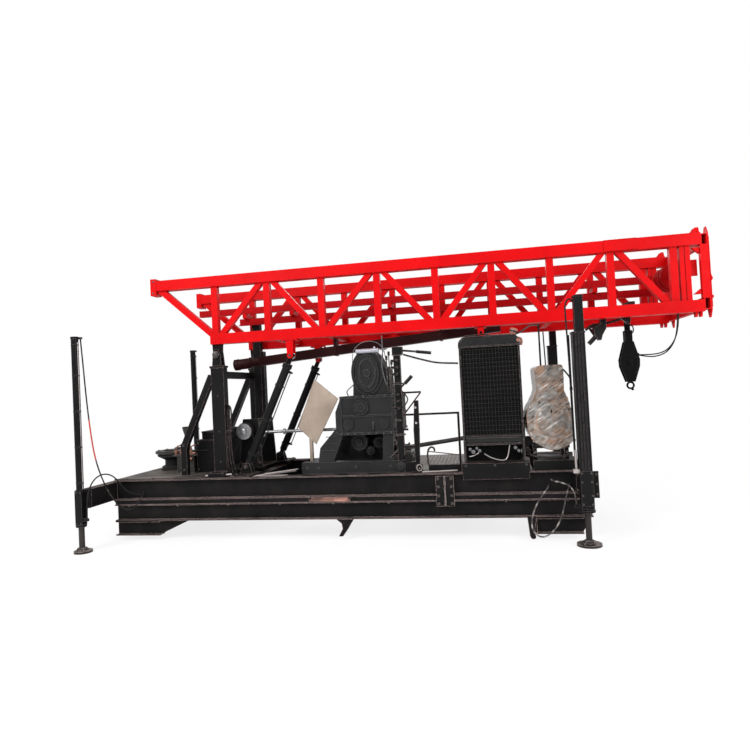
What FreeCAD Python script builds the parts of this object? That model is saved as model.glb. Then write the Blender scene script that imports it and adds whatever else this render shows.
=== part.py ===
import FreeCAD, Part
import math
import os

# Skid-mounted rotary drilling rig for water wells.  All lengths in millimetres.
# X runs along the skid (mast tip at +X), Y across it (control side at -Y), Z is up.
# The origin lies on the ground under the middle of the whole machine.

V = FreeCAD.Vector
os.makedirs("parts", exist_ok=True)

# ---- driving dimensions -------------------------------------------------------------
FIT = 0.05            # radial running clearance of pins, rods and shafts
SEAT = 0.3            # gap between a loose piece and what it rests on

# skid
BEAM_OUT = 900.0      # outer face of the flanges, from the middle plane
FLANGE_W = 125.0      # width of the beam flanges
FLANGE_T = 14.0       # thickness of the beam flanges
WEB_T = 10.0          # thickness of the beam webs
DECK_Z = 750.0        # top of the upper beams
UPPER_Z = 500.0       # underside of the upper beams
LOWER_TOP = 445.0     # top of the lower beams
LOWER_Z = 240.0       # underside of the lower beams
RUNNER_Z = 60.0       # underside of the short end runners
SKID_L = -3490.0      # left end of the long beams
RUNNER_L = 600.0      # length of the short end runners
RUNNER_R = 545.0
ARM_W = 120.0         # width of the cross arm at the left end
ARM_LOW = 505.0       # underside of the cross arm
ARM_TOP = 726.0       # top of the cross arm
CROSS_X = (-2650.0, -1820.0, -900.0, 150.0, 900.0, 1650.0)  # cross members of the skid

# jack legs
LEG_L_OUT = 81.0      # left leg axis beyond the end of the beams
LEG_L_X = SKID_L - LEG_L_OUT
LEG_L_Y = 1423.0      # left pair, from the middle plane
LEG_R_X = 2138.0      # right pair
SKID_R = LEG_R_X + 97.0   # right end of the long beams
LEG_R_Y = 1138.0
LEG_R_HALF = 63.0     # half the side of the right leg tubes
LEG_L_R = 41.0        # radius of the left leg barrels
LEG_REACH = 82.0      # left leg axis to the end of the cross arm
LEG_TOP = 2530.0      # top of the left leg tubes
LEG_R_SQ = 2230.0     # top of the wide part of the right leg tubes
LEG_R_TOP = 2610.0    # top of the narrow part of the right leg tubes
ROD_L = 33.0          # radius of the left leg rods
ROD_R = 32.0          # radius of the right leg rods
PAD_L = 102.0         # radius of the left foot pads
PAD_R = 126.0         # radius of the right foot pads
PAD_SHIFT = 13.0      # the left pads sit this far inward of their rods
PAD_T = 26.0          # thickness of the foot pads

# mast
MAST_HALF = 681.0     # outer face of the mast side frames
CHORD = 130.0         # side of the chord tubes
LACE = 80.0           # side of the lacing tubes
MAST_TOP = 3270.0     # top of the upper chords
MAST_LOW = 2405.0     # underside of the lower chords
MAST_END = -3000.0    # left end of the upper chords
LOW_END = -2220.0     # left end of the lower chords
PANEL_0 = -2158.0     # first upright of each side frame
PANEL_A = 700.0       # spacing of the first five uprights
PANEL_B = 657.0       # spacing of the others
MAST_TIP = 3612.0     # right face of the cross tubes at the tip
HEAD_W = 77.0         # width of the upright at the mast head
HEAD_TUBE = 64.0      # width of the cross tubes at the mast head
PIVOT_X = -2150.0     # mast hinge
PIVOT_Z = 2270.0
PIVOT_R = 30.0        # radius of the hinge pins
SIDE_Y = MAST_HALF - CHORD / 2.0   # middle plane of each side frame

# radiator and the wrapped unit beside it
RAD_X0 = 885.0        # left side of the radiator
RAD_X1 = 1560.0       # right side of the radiator
NECK_IN = 82.0        # filler neck inward of the right side of the radiator
UNIT_X = RAD_X1 + 280.0   # middle of the wrapped unit
UNIT_R = 235.0        # radius of its round lower body
UNIT_Z = 1230.0       # height of the middle of that body

# luffing cylinders
LUFF_Y = SIDE_Y
LUFF_X0 = -1820.0     # foot pin
LUFF_Z0 = 850.0
LUFF_X1 = -1180.0     # rod eye, mast down
LUFF_Z1 = 2205.0
BARREL_R = 50.0
RAM_R = 30.0
BARREL_LEN = 1390.0   # foot pin to gland

# machinery on the deck
TABLE_X = -3165.0     # well axis
CASE_FRONT = -750.0   # front face of the transmission
RAD_FRONT = -880.0    # front face of the radiator
HOOK_X = 2830.0       # hook block hanging point
HOOK_Y = -300.0
HOOK_Z = 2455.0


# ---- shape helpers ------------------------------------------------------------------
def box(x0, x1, y0, y1, z0, z1):
    return Part.makeBox(x1 - x0, y1 - y0, z1 - z0, V(x0, y0, z0))


def rod(x, y, z, axis, radius, length):
    """Cylinder from a point along an axis vector."""
    return Part.makeCylinder(radius, length, V(x, y, z), V(*axis))


def rod_mid(x, y, z, axis, radius, length):
    """Cylinder centred on a point."""
    a = V(*axis).normalize()
    start = V(x, y, z) - a * (length / 2.0)
    return Part.makeCylinder(radius, length, start, a)


def slab(points, y0, y1):
    """Outline in the X-Z plane pulled from y0 to y1."""
    ring = [V(x, y0, z) for x, z in points]
    return Part.Face(Part.makePolygon(ring + ring[:1])).extrude(V(0, y1 - y0, 0))


def plate_x(points, x0, x1):
    """Outline in the Y-Z plane pulled from x0 to x1."""
    ring = [V(x0, y, z) for y, z in points]
    return Part.Face(Part.makePolygon(ring + ring[:1])).extrude(V(x1 - x0, 0, 0))


def strut(x0, z0, x1, z1, width, y0, y1):
    """Straight bar in the X-Z plane between two points."""
    dx, dz = x1 - x0, z1 - z0
    n = math.hypot(dx, dz)
    px, pz = -dz / n * width / 2.0, dx / n * width / 2.0
    corners = [(x0 + px, z0 + pz), (x1 + px, z1 + pz), (x1 - px, z1 - pz), (x0 - px, z0 - pz)]
    return slab(corners, y0, y1)


def strut_xy(x0, y0, x1, y1, width, z0, z1):
    """Straight bar lying level between two points."""
    dx, dy = x1 - x0, y1 - y0
    n = math.hypot(dx, dy)
    px, py = -dy / n * width / 2.0, dx / n * width / 2.0
    ring = [V(x0 + px, y0 + py, z0), V(x1 + px, y1 + py, z0)]
    ring += [V(x1 - px, y1 - py, z0), V(x0 - px, y0 - py, z0)]
    return Part.Face(Part.makePolygon(ring + ring[:1])).extrude(V(0, 0, z1 - z0))


def join(pieces):
    whole = pieces[0].fuse(pieces[1:]) if len(pieces) > 1 else pieces[0]
    return whole.removeSplitter()


def mirror_y(shape):
    return shape.mirror(V(0, 0, 0), V(0, 1, 0))


def both(shape):
    """The shape and its twin across the middle plane."""
    return [shape, mirror_y(shape)]


def turned(shape, x, z, degrees):
    """Turn in the X-Z plane, right end up for a positive angle."""
    twin = shape.copy()
    twin.rotate(V(x, 0, z), V(0, -1, 0), degrees)
    return twin


def save(name, shape):
    if isinstance(shape, list):
        shape = Part.makeCompound(shape)
    shape.exportStep("parts/" + name + ".step")


def hose(points, radius):
    """Tube of straight runs joined by tangent arcs; prints the smallest bend radius."""
    pts = [V(*p) for p in points]
    legs = [pts[i + 1] - pts[i] for i in range(len(pts) - 1)]
    edges = []
    start = pts[0]
    least = 1e9
    total = 0.0
    for i in range(1, len(pts) - 1):
        a = (pts[i - 1] - pts[i]).normalize()
        b = (pts[i + 1] - pts[i]).normalize()
        turn = math.pi - a.getAngle(b)
        reach = 0.45 * min(legs[i - 1].Length, legs[i].Length)
        bend = reach / math.tan(turn / 2.0)
        least = min(least, bend)
        p0 = pts[i] + a * reach
        p1 = pts[i] + b * reach
        out = (a + b).normalize()
        mid = pts[i] + out * (bend / math.cos(turn / 2.0) - bend)
        edges.append(Part.LineSegment(start, p0).toShape())
        edges.append(Part.Arc(p0, mid, p1).toShape())
        total += (p0 - start).Length + bend * turn
        start = p1
    edges.append(Part.LineSegment(start, pts[-1]).toShape())
    total += (pts[-1] - start).Length
    path = Part.Wire(edges)
    ring = Part.Wire(Part.Circle(pts[0], legs[0], radius).toShape())
    pipe = path.makePipeShell([ring], True, False)
    print("hose radius %.0f: length %.0f, least bend %.0f" % (radius, total, least))
    return pipe


# ---- skid ---------------------------------------------------------------------------
def beam(x0, x1, y, z0, z1):
    """I-section along X, y is the middle of the web."""
    half = FLANGE_W / 2.0
    parts = [box(x0, x1, y - half, y + half, z1 - FLANGE_T, z1)]
    parts.append(box(x0, x1, y - half, y + half, z0, z0 + FLANGE_T))
    parts.append(box(x0, x1, y - WEB_T / 2.0, y + WEB_T / 2.0, z0 + FLANGE_T, z1 - FLANGE_T))
    return parts


WEB_Y = BEAM_OUT - FLANGE_W / 2.0
TIMBER_X0 = -952.0    # ends of the timber between the tiers
TIMBER_X1 = -455.0


def make_skid():
    side = beam(SKID_L, SKID_R, -WEB_Y, UPPER_Z, DECK_Z)
    side += beam(SKID_L, SKID_R, -WEB_Y, LOWER_Z, LOWER_TOP)
    left = SKID_L + RUNNER_L
    right = SKID_R - 105.0
    side += beam(SKID_L, left, -WEB_Y, RUNNER_Z, LOWER_Z)
    side += beam(right - RUNNER_R, right, -WEB_Y, RUNNER_Z, LOWER_Z)
    gusset = [(left, RUNNER_Z + 10.0), (left, LOWER_Z + 10.0), (left + 410.0, LOWER_Z + 10.0)]
    side.append(slab(gusset, -WEB_Y - WEB_T / 2.0, -WEB_Y + WEB_T / 2.0))
    gusset = [(right, RUNNER_Z + 10.0), (right, LOWER_Z + 10.0), (SKID_R, LOWER_Z + 10.0)]
    side.append(slab(gusset, -WEB_Y - WEB_T / 2.0, -WEB_Y + WEB_T / 2.0))
    # packing between the two beam tiers, left out where a timber lies
    for x0, x1 in ((SKID_L, TIMBER_X0), (TIMBER_X1, SKID_R)):
        side.append(box(x0, x1, -WEB_Y - 50.0, -WEB_Y + 50.0, LOWER_TOP, UPPER_Z))
    # clamp plate over both tiers and the end plate
    side.append(box(551.0, 753.0, -BEAM_OUT - 16.0, -BEAM_OUT, 380.0, 720.0))
    side.append(box(560.0, 740.0, -BEAM_OUT, -WEB_Y, 470.0, 480.0))
    side.append(box(SKID_R - 60.0, SKID_R + 73.0, -BEAM_OUT - 12.0, -BEAM_OUT, 448.0, 738.0))
    # right leg bracket
    inner = LEG_R_Y - LEG_R_HALF
    for z in (520.0, 700.0):
        side.append(box(LEG_R_X - 63.0, LEG_R_X + 63.0, -inner, -WEB_Y, z, z + 24.0))
    side.append(box(LEG_R_X - 53.0, LEG_R_X - 37.0, -inner, -WEB_Y, 520.0, 724.0))
    side.append(box(LEG_R_X + 37.0, LEG_R_X + 53.0, -inner, -WEB_Y, 520.0, 724.0))
    # tongue plate at the right
    side.append(slab([(1545.0, 240.0), (1640.0, 240.0), (1640.0, 60.0), (1575.0, 25.0)], -895.0, -870.0))
    pieces = []
    for s in side:
        pieces += both(s)
    inside = WEB_Y - WEB_T / 2.0
    for x in CROSS_X:
        pieces.append(box(x - 5.0, x + 5.0, -inside, inside, UPPER_Z + 20.0, 700.0))
        pieces.append(box(x - 50.0, x + 50.0, -inside, inside, UPPER_Z + 20.0, UPPER_Z + 32.0))
        pieces.append(box(x - 50.0, x + 50.0, -inside, inside, 700.0 - 12.0, 700.0))
    for x in (-2900.0, -600.0, 1500.0):
        pieces.append(box(x - 50.0, x + 50.0, -inside, inside, LOWER_Z + 20.0, LOWER_TOP - 20.0))
    # cross arm that carries the left legs
    out = LEG_L_Y - LEG_REACH
    pieces.append(box(SKID_L - ARM_W, SKID_L, -out, out, ARM_LOW, ARM_TOP))
    # hooked fin under the near lower beam
    fin = [(-640.0, 246.0), (-420.0, 246.0), (-500.0, 120.0), (-560.0, 40.0), (-610.0, 40.0)]
    fin += [(-560.0, 130.0), (-570.0, 190.0)]
    pieces.append(slab(fin, -BEAM_OUT + 5.0, -BEAM_OUT + 35.0))
    return join(pieces)


def make_deck():
    plate = box(-3480.0, -2700.0, -830.0, 830.0, DECK_Z + SEAT, DECK_Z + 10.0)
    plates = [plate.cut(rod(TABLE_X, 0.0, DECK_Z - 1.0, (0, 0, 1), 120.0, 20.0))]
    plates.append(box(-2690.0, -2300.0, -830.0, 830.0, DECK_Z + SEAT, DECK_Z + 10.0))
    plates.append(box(-3500.0, -3330.0, -880.0, -840.0, DECK_Z + SEAT, DECK_Z + 14.0))
    plates.append(box(-3260.0, -2980.0, -880.0, -840.0, DECK_Z + SEAT, DECK_Z + 14.0))
    return plates


# ---- posts that carry the mast ------------------------------------------------------
CHEEK_T = 25.0
LUG_T = 60.0


def make_posts():
    y0 = -SIDE_Y - 60.0
    y1 = -SIDE_Y + 60.0
    side = [box(PIVOT_X - 85.0, PIVOT_X + 85.0, y0, y1, UPPER_Z + 150.0, 2105.0)]
    side.append(box(PIVOT_X - 95.0, PIVOT_X + 95.0, y0 - 10.0, y1 + 10.0, 2105.0, 2130.0))
    gap = LUG_T / 2.0 + 2.0
    cheek = [(PIVOT_X - 62.0, 2130.0), (PIVOT_X + 62.0, 2130.0), (PIVOT_X + 48.0, 2295.0)]
    cheek += [(PIVOT_X + 26.0, 2335.0), (PIVOT_X - 26.0, 2335.0), (PIVOT_X - 48.0, 2295.0)]
    hole = rod_mid(PIVOT_X, -SIDE_Y, PIVOT_Z, (0, 1, 0), PIVOT_R, 400.0)
    for a, b in ((-SIDE_Y - gap - CHEEK_T, -SIDE_Y - gap), (-SIDE_Y + gap, -SIDE_Y + gap + CHEEK_T)):
        side.append(slab(cheek, a, b).cut(hole))
    # raking brace and foot plate
    side.append(strut(-2245.0, 2010.0, -2660.0, 1120.0, 80.0, -SIDE_Y - 40.0, -SIDE_Y + 40.0))
    side.append(box(-2700.0, -2620.0, -SIDE_Y - 40.0, -SIDE_Y + 40.0, DECK_Z + 10.0 + SEAT, 1160.0))
    pieces = []
    for s in side:
        pieces += both(s)
    # cross bar between the posts and the tall inner post
    pieces.append(box(PIVOT_X - 45.0, PIVOT_X + 45.0, -SIDE_Y, SIDE_Y, 1970.0, 2060.0))
    pieces.append(box(PIVOT_X + 55.0, PIVOT_X + 165.0, 400.0, 500.0, 780.0, 2820.0))
    pieces.append(box(PIVOT_X + 165.0, PIVOT_X + 212.0, 405.0, 495.0, 780.0, 2360.0))
    # tie that carries the posts on the beams
    pieces.append(box(PIVOT_X - 100.0, PIVOT_X + 100.0, -WEB_Y, WEB_Y, DECK_Z + SEAT, DECK_Z + 50.0))
    pieces.append(box(PIVOT_X + 100.0, PIVOT_X + 212.0, -510.0, 510.0, DECK_Z + SEAT, DECK_Z + 50.0))
    return join(pieces)


def make_pins():
    """Hinge pins of the mast, one each side, with a head on the outer end."""
    pin = rod_mid(PIVOT_X, -SIDE_Y, PIVOT_Z, (0, 1, 0), PIVOT_R - FIT, 140.0)
    head = rod_mid(PIVOT_X, -SIDE_Y - 75.0, PIVOT_Z, (0, 1, 0), PIVOT_R + 14.0, 14.0)
    return both(join([pin, head]))


# ---- jack legs ----------------------------------------------------------------------
def square_tube(x, y, half, wall, z0, z1, cap):
    """Upright square tube, open below; cap is the thickness of its closed top."""
    outer = box(x - half, x + half, y - half, y + half, z0, z1)
    bore = half - wall
    return outer.cut(box(x - bore, x + bore, y - bore, y + bore, z0 - 1.0, z1 - cap))


def make_leg_housing_left():
    x, y = LEG_L_X, -LEG_L_Y
    barrel = rod(x, y, 322.0, (0, 0, 1), LEG_L_R, LEG_TOP - 322.0)
    cap = rod(x, y, LEG_TOP - 30.0, (0, 0, 1), LEG_L_R + 4.0, 30.0)
    sleeve = box(x - LEG_L_R - 2.0, x + LEG_L_R + 4.0, y - 45.0, y + 45.0, 322.0, 722.0)
    ring = rod(x, y, 300.0, (0, 0, 1), 60.0, 30.0)
    foot = box(SKID_L - ARM_W, SKID_L, y + 44.0, y + LEG_REACH, ARM_LOW, ARM_TOP)
    top_port = box(x + 30.0, x + 76.0, y + 8.0, y + 38.0, 2500.0, 2524.0)
    low_port = box(x + 30.0, x + 107.0, y - 30.0, y, 366.0, 398.0)
    solid = join([barrel, cap, sleeve, ring, foot, top_port, low_port])
    room = rod(x, y, 320.0, (0, 0, 1), LEG_L_R - 5.0, LEG_TOP - 340.0)
    return both(solid.cut(room).cut(rod(x, y, 290.0, (0, 0, 1), ROD_L + FIT, 60.0)))


def make_leg_housing_right():
    x, y = LEG_R_X, -LEG_R_Y
    tube = square_tube(x, y, LEG_R_HALF, 8.0, 390.0, LEG_R_SQ, 8.0)
    top = square_tube(x + 17.0, y, 46.0, 6.0, LEG_R_SQ - 8.0, LEG_R_TOP, 6.0)
    ring = join([rod(x, y, 350.0, (0, 0, 1), 80.0, 22.0), rod(x, y, 360.0, (0, 0, 1), 60.0, 40.0)])
    bore = rod(x, y, 340.0, (0, 0, 1), ROD_R + FIT, 70.0)
    side = box(x - LEG_R_HALF, x + LEG_R_HALF, y - LEG_R_HALF - 10.0, y - LEG_R_HALF, 420.0, 780.0)
    port = box(x - 118.0, x - 58.0, y + 28.0, y + 58.0, 392.0, 420.0)
    return both(join([tube, top, ring, side, port]).cut(bore))


def make_leg_rod(x, y, radius, length, guide, pad_radius, shift):
    """Leg rod with its foot pad; the guide is the square head inside the tube."""
    pad = rod(x + shift, y, 0.0, (0, 0, 1), pad_radius, PAD_T)
    hub = rod(x, y, PAD_T, (0, 0, 1), radius + 22.0, 30.0)
    stem = rod(x, y, PAD_T, (0, 0, 1), radius, length)
    head = box(x - guide, x + guide, y - guide, y + guide, PAD_T + length - 60.0, PAD_T + length)
    return join([pad, hub, stem, head])


# ---- mast ---------------------------------------------------------------------------
CROWN_X = 3420.0
CROWN_Z = MAST_TOP - 370.0
GUIDE_Z = MAST_TOP - 370.0   # underside of the guide boxes
HEAD_END = 3660.0     # end of the pins at the mast head, as far out as the left foot pads
EAR_Z = MAST_TOP + 30.0   # height of the ear bores
EAR_R = 15.0          # radius of the ear bores
EAR_T = 22.0          # thickness of each ear
EAR_X = MAST_TIP - 90.0    # left face of the inner ears
END_T = 12.0          # thickness of the end plates
UPRIGHTS = [PANEL_0 + PANEL_A * i for i in range(5)]
UPRIGHTS += [UPRIGHTS[4] + PANEL_B * i for i in range(1, 5)]
TIE_OVER_BAR = 2465.0  # underside of the tie that passes over the drive bar


def make_mast():
    y0, y1 = -MAST_HALF, -MAST_HALF + CHORD
    a0, a1 = -SIDE_Y - LACE / 2.0, -SIDE_Y + LACE / 2.0
    chord_end = MAST_TIP - HEAD_TUBE
    side = [box(MAST_END, chord_end, y0, y1, MAST_TOP - CHORD, MAST_TOP)]
    side.append(box(LOW_END, chord_end, y0, y1, MAST_LOW, MAST_LOW + CHORD))
    low = MAST_LOW + CHORD
    high = MAST_TOP - CHORD
    side.append(strut(MAST_END + 90.0, high + 20.0, LOW_END + 50.0, low - 30.0, LACE, a0, a1))
    for x in UPRIGHTS:
        side.append(box(x - LACE / 2.0, x + LACE / 2.0, a0, a1, low - 10.0, high + 10.0))
    for i in range(0, 8):
        lean = 1 if i % 2 == 0 else -1
        foot = UPRIGHTS[i] if lean > 0 else UPRIGHTS[i + 1]
        peak = UPRIGHTS[i + 1] if lean > 0 else UPRIGHTS[i]
        foot += lean * 70.0
        peak -= lean * 70.0
        side.append(strut(foot, low - 20.0, peak, high + 20.0, LACE - 10.0, a0 + 5.0, a1 - 5.0))
    # left end plate, hinge lug, lugs of the luffing cylinder, sling bracket
    side.append(box(MAST_END - 14.0, MAST_END + 60.0, y0 - 6.0, y1 + 6.0, MAST_TOP - 190.0, MAST_TOP + 25.0))
    hinge = [(PIVOT_X - 62.0, MAST_LOW + 5.0), (PIVOT_X + 62.0, MAST_LOW + 5.0)]
    hinge += [(PIVOT_X + 52.0, 2235.0), (PIVOT_X + 20.0, 2205.0)]
    hinge += [(PIVOT_X - 20.0, 2205.0), (PIVOT_X - 52.0, 2235.0)]
    bore = rod_mid(PIVOT_X, -SIDE_Y, PIVOT_Z, (0, 1, 0), PIVOT_R, 400.0)
    side.append(slab(hinge, -SIDE_Y - LUG_T / 2.0, -SIDE_Y + LUG_T / 2.0).cut(bore))
    ear = [(LUFF_X1 - 48.0, MAST_LOW + 5.0), (LUFF_X1 + 48.0, MAST_LOW + 5.0)]
    ear += [(LUFF_X1 + 36.0, 2190.0), (LUFF_X1 + 18.0, 2168.0)]
    ear += [(LUFF_X1 - 18.0, 2168.0), (LUFF_X1 - 36.0, 2190.0)]
    side.append(box(LUFF_X1 - 95.0, LUFF_X1 + 95.0, y0 + 4.0, y1 - 4.0, MAST_LOW - 14.0, MAST_LOW))
    gap = 40.0
    for c, d in ((-SIDE_Y - gap - 14.0, -SIDE_Y - gap), (-SIDE_Y + gap, -SIDE_Y + gap + 14.0)):
        side.append(slab(ear, c, d))
    side.append(rod_mid(LUFF_X1, -SIDE_Y - gap - 20.0, LUFF_Z1, (0, 1, 0), 34.0, 14.0))
    side.append(rod_mid(LUFF_X1, -SIDE_Y + gap + 20.0, LUFF_Z1, (0, 1, 0), 34.0, 14.0))
    sling = [(1075.0, MAST_LOW + 5.0), (1210.0, MAST_LOW + 5.0), (1210.0, 2380.0), (1180.0, 2380.0)]
    sling += [(1180.0, 2290.0), (1110.0, 2290.0), (1110.0, 2380.0), (1075.0, 2380.0)]
    eye = rod_mid(1145.0, -SIDE_Y, 2335.0, (0, 1, 0), 18.0, 300.0)
    side.append(slab(sling, -SIDE_Y - 45.0, -SIDE_Y - 20.0).cut(eye))
    # doubler on the upper chord
    side.append(box(2545.0, 2890.0, y0 - 10.0, y0, MAST_TOP - CHORD + 10.0, MAST_TOP - 4.0))
    # uprights at the tip and the plates that carry the crown shaft
    foot, peak = MAST_LOW + 155.0, MAST_TOP - 142.0
    side.append(box(MAST_TIP - HEAD_W, MAST_TIP, y0, y0 + 60.0, foot - 10.0, peak + 10.0))
    for x0, x1 in ((3330.0, 3378.0), (3386.0, 3438.0)):
        side.append(box(x0, x1, a0, a1, low - 10.0, high + 10.0))
    side.append(box(3330.0, MAST_TIP - 90.0, a1 - 20.0, a1, CROWN_Z - 90.0, CROWN_Z + 90.0))
    # end plate with its bump and pin
    wide = [(y0 + 45.0, 2340.0), (y1 - 45.0, 2340.0), (y1 - 15.0, 2420.0), (y1 - 15.0, MAST_TOP - 10.0)]
    wide += [(y1 - 45.0, EAR_Z + 35.0), (y0 + 45.0, EAR_Z + 35.0), (y0, MAST_TOP - 10.0), (y0, 2420.0)]
    ear_bore = rod(EAR_X - 50.0, -SIDE_Y, EAR_Z, (1, 0, 0), EAR_R, 250.0)
    side.append(plate_x(wide, MAST_TIP, MAST_TIP + END_T).cut(ear_bore))
    bump = [(MAST_TIP + 2.0, 2847.0), (HEAD_END - 14.0, 2758.0), (MAST_TIP + 2.0, 2705.0)]
    side.append(slab(bump, y0, y0 + 14.0))
    side.append(rod(MAST_TIP - 20.0, -SIDE_Y, 2568.0, (1, 0, 0), 17.0, HEAD_END - MAST_TIP + 20.0))
    # ears for the guy lines, one above and two below each corner of the head
    top = [(y0 + 10.0, MAST_TOP - 20.0), (y1 - 10.0, MAST_TOP - 20.0), (y1 - 45.0, EAR_Z + 35.0)]
    top += [(y0 + 45.0, EAR_Z + 35.0)]
    side.append(plate_x(top, EAR_X, EAR_X + EAR_T).cut(ear_bore))
    low_ear = [(y0 + 20.0, MAST_LOW + 10.0), (y1 - 20.0, MAST_LOW + 10.0), (y1 - 40.0, 2352.0)]
    low_ear += [(y0 + 40.0, 2352.0)]
    for x in (MAST_TIP - 150.0, MAST_TIP - 102.0):
        side.append(plate_x(low_ear, x, x + EAR_T))
    rib = [(EAR_X - 76.0, MAST_TOP - 10.0), (EAR_X + 2.0, MAST_TOP - 10.0)]
    rib += [(EAR_X + 2.0, EAR_Z + 32.0), (EAR_X - 22.0, EAR_Z + 32.0)]
    side.append(slab(rib, -SIDE_Y - 36.0, -SIDE_Y - 26.0))
    side.append(slab(rib, -SIDE_Y + 26.0, -SIDE_Y + 36.0))
    pieces = []
    for s in side:
        pieces += both(s)
    # cross tubes of the head, open at both ends
    wall = 8.0
    for z0, z1 in ((MAST_LOW + 24.0, foot), (peak, MAST_TOP - 15.0)):
        tube = box(MAST_TIP - HEAD_TUBE, MAST_TIP, y0, -y0, z0, z1)
        inner = box(MAST_TIP - HEAD_TUBE + wall, MAST_TIP - wall, y0 - 1.0, 1.0 - y0, z0 + wall, z1 - wall)
        pieces.append(tube.cut(inner))
    # ties across the bottom
    inside = SIDE_Y
    for x in (UPRIGHTS[1], UPRIGHTS[2], UPRIGHTS[6]):
        pieces.append(box(x - 40.0, x + 40.0, -inside, inside, MAST_LOW + 25.0, MAST_LOW + 105.0))
    x = UPRIGHTS[4]
    pieces.append(box(x - 40.0, x + 40.0, -inside, inside, TIE_OVER_BAR, MAST_LOW + CHORD))
    # diagonal bracing of the bottom
    zigzag = (UPRIGHTS[1], UPRIGHTS[3], UPRIGHTS[5], UPRIGHTS[6])
    for i in range(len(zigzag) - 1):
        s = 1.0 if i % 2 == 0 else -1.0
        pieces.append(strut_xy(zigzag[i], -s * inside, zigzag[i + 1], s * inside, 60.0,
                               MAST_LOW + 85.0, MAST_LOW + 125.0))
    # carriers of the guide rails
    for x in (PANEL_0, UPRIGHTS[1], UPRIGHTS[3], UPRIGHTS[5], UPRIGHTS[7]):
        pieces.append(box(x - 30.0, x + 30.0, 300.0, inside, GUIDE_Z - 60.0, GUIDE_Z))
    return join(pieces)


def make_guides():
    """The guide rails inside the far side of the mast, a box and an angle below it."""
    x1 = 3300.0
    rail = box(-2850.0, x1, 300.0 + SEAT, 370.0, GUIDE_Z + SEAT, GUIDE_Z + 90.0)
    low = GUIDE_Z - 160.0
    angle = [box(-2260.0, x1, 362.0, 370.0, low, low + 100.0 - SEAT)]
    angle.append(box(-2260.0, x1, 310.0, 370.0, low, low + 8.0))
    return [rail, join(angle)]


KELLY_HALF = 60.0     # half the side of the drive bar
KELLY_X0 = -1830.0    # left end of its square part
KELLY_Z0 = 2190.0     # height of its middle there
KELLY_RISE = 0.08     # rise of the bar along X


def make_kelly():
    """Square drive bar slung under the mast, thick end at the left."""
    half = KELLY_HALF
    bar = box(KELLY_X0, 1400.0, -half, half, KELLY_Z0 - half, KELLY_Z0 + half)
    end = rod(KELLY_X0 - 370.0, 0.0, KELLY_Z0, (1, 0, 0), 72.0, 250.0)
    neck = rod(KELLY_X0 - 130.0, 0.0, KELLY_Z0, (1, 0, 0), 52.0, 140.0)
    slope = math.degrees(math.atan(KELLY_RISE))
    return turned(join([bar, end, neck]), KELLY_X0, KELLY_Z0, slope)


def make_kelly_hangers():
    """Straps that carry the bar under the mast ties."""
    shapes = []
    for x, under in ((UPRIGHTS[2], MAST_LOW + 25.0), (UPRIGHTS[4], TIE_OVER_BAR)):
        mid = KELLY_Z0 + (x - KELLY_X0) * KELLY_RISE
        room = KELLY_HALF + 3.0
        strap = box(x - 18.0, x + 18.0, -room - 8.0, room + 8.0, mid - room - 8.0, under - SEAT)
        slot = box(x - 40.0, x + 40.0, -KELLY_HALF - SEAT, KELLY_HALF + SEAT, mid - room, mid + room)
        shapes.append(strap.cut(slot))
    return shapes


# ---- luffing cylinders --------------------------------------------------------------
LUFF_LEN = math.hypot(LUFF_X1 - LUFF_X0, LUFF_Z1 - LUFF_Z0)
LUFF_ANG = math.degrees(math.atan2(LUFF_Z1 - LUFF_Z0, LUFF_X1 - LUFF_X0))


def make_barrel(y):
    """Barrel with its foot eye, built lying along X from the foot pin."""
    x, z = LUFF_X0, LUFF_Z0
    eye = rod_mid(x, y, z, (0, 1, 0), 48.0, 56.0)
    neck = box(x, x + 90.0, y - 25.0, y + 25.0, z - 30.0, z + 30.0)
    tube = rod(x + 80.0, y, z, (1, 0, 0), BARREL_R, BARREL_LEN - 80.0)
    gland = rod(x + BARREL_LEN - 60.0, y, z, (1, 0, 0), BARREL_R + 10.0, 60.0)
    bore = rod(x + 150.0, y, z, (1, 0, 0), RAM_R + FIT, BARREL_LEN)
    pin_bore = rod_mid(x, y, z, (0, 1, 0), 25.0, 100.0)
    body = join([eye, neck, tube, gland]).cut(bore).cut(pin_bore)
    return turned(body, LUFF_X0, LUFF_Z0, LUFF_ANG)


def make_ram(y):
    """Ram with the eye that meets the mast lug."""
    x, z = LUFF_X0, LUFF_Z0
    stem = rod(x + 170.0, y, z, (1, 0, 0), RAM_R, LUFF_LEN - 170.0)
    eye = rod_mid(x + LUFF_LEN, y, z, (0, 1, 0), 44.0, 56.0)
    cap = rod_mid(x + LUFF_LEN, y, z, (0, 1, 0), 22.0, 74.0)
    return turned(join([stem, eye, cap]), LUFF_X0, LUFF_Z0, LUFF_ANG)


def make_luff_feet():
    """Forked brackets on the skid with the foot pins."""
    side = [box(LUFF_X0 - 130.0, LUFF_X0 + 130.0, -BEAM_OUT + 5.0, -520.0, DECK_Z + SEAT, DECK_Z + 18.0)]
    for y in (-LUFF_Y - 52.0, -LUFF_Y + 32.0):
        cheek = [(LUFF_X0 - 80.0, DECK_Z + 18.0), (LUFF_X0 + 80.0, DECK_Z + 18.0)]
        cheek += [(LUFF_X0 + 45.0, LUFF_Z0 + 40.0), (LUFF_X0 - 45.0, LUFF_Z0 + 40.0)]
        side.append(slab(cheek, y, y + 20.0))
    side.append(rod_mid(LUFF_X0, -LUFF_Y, LUFF_Z0, (0, 1, 0), 25.0 - FIT, 130.0))
    return both(join(side))


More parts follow.
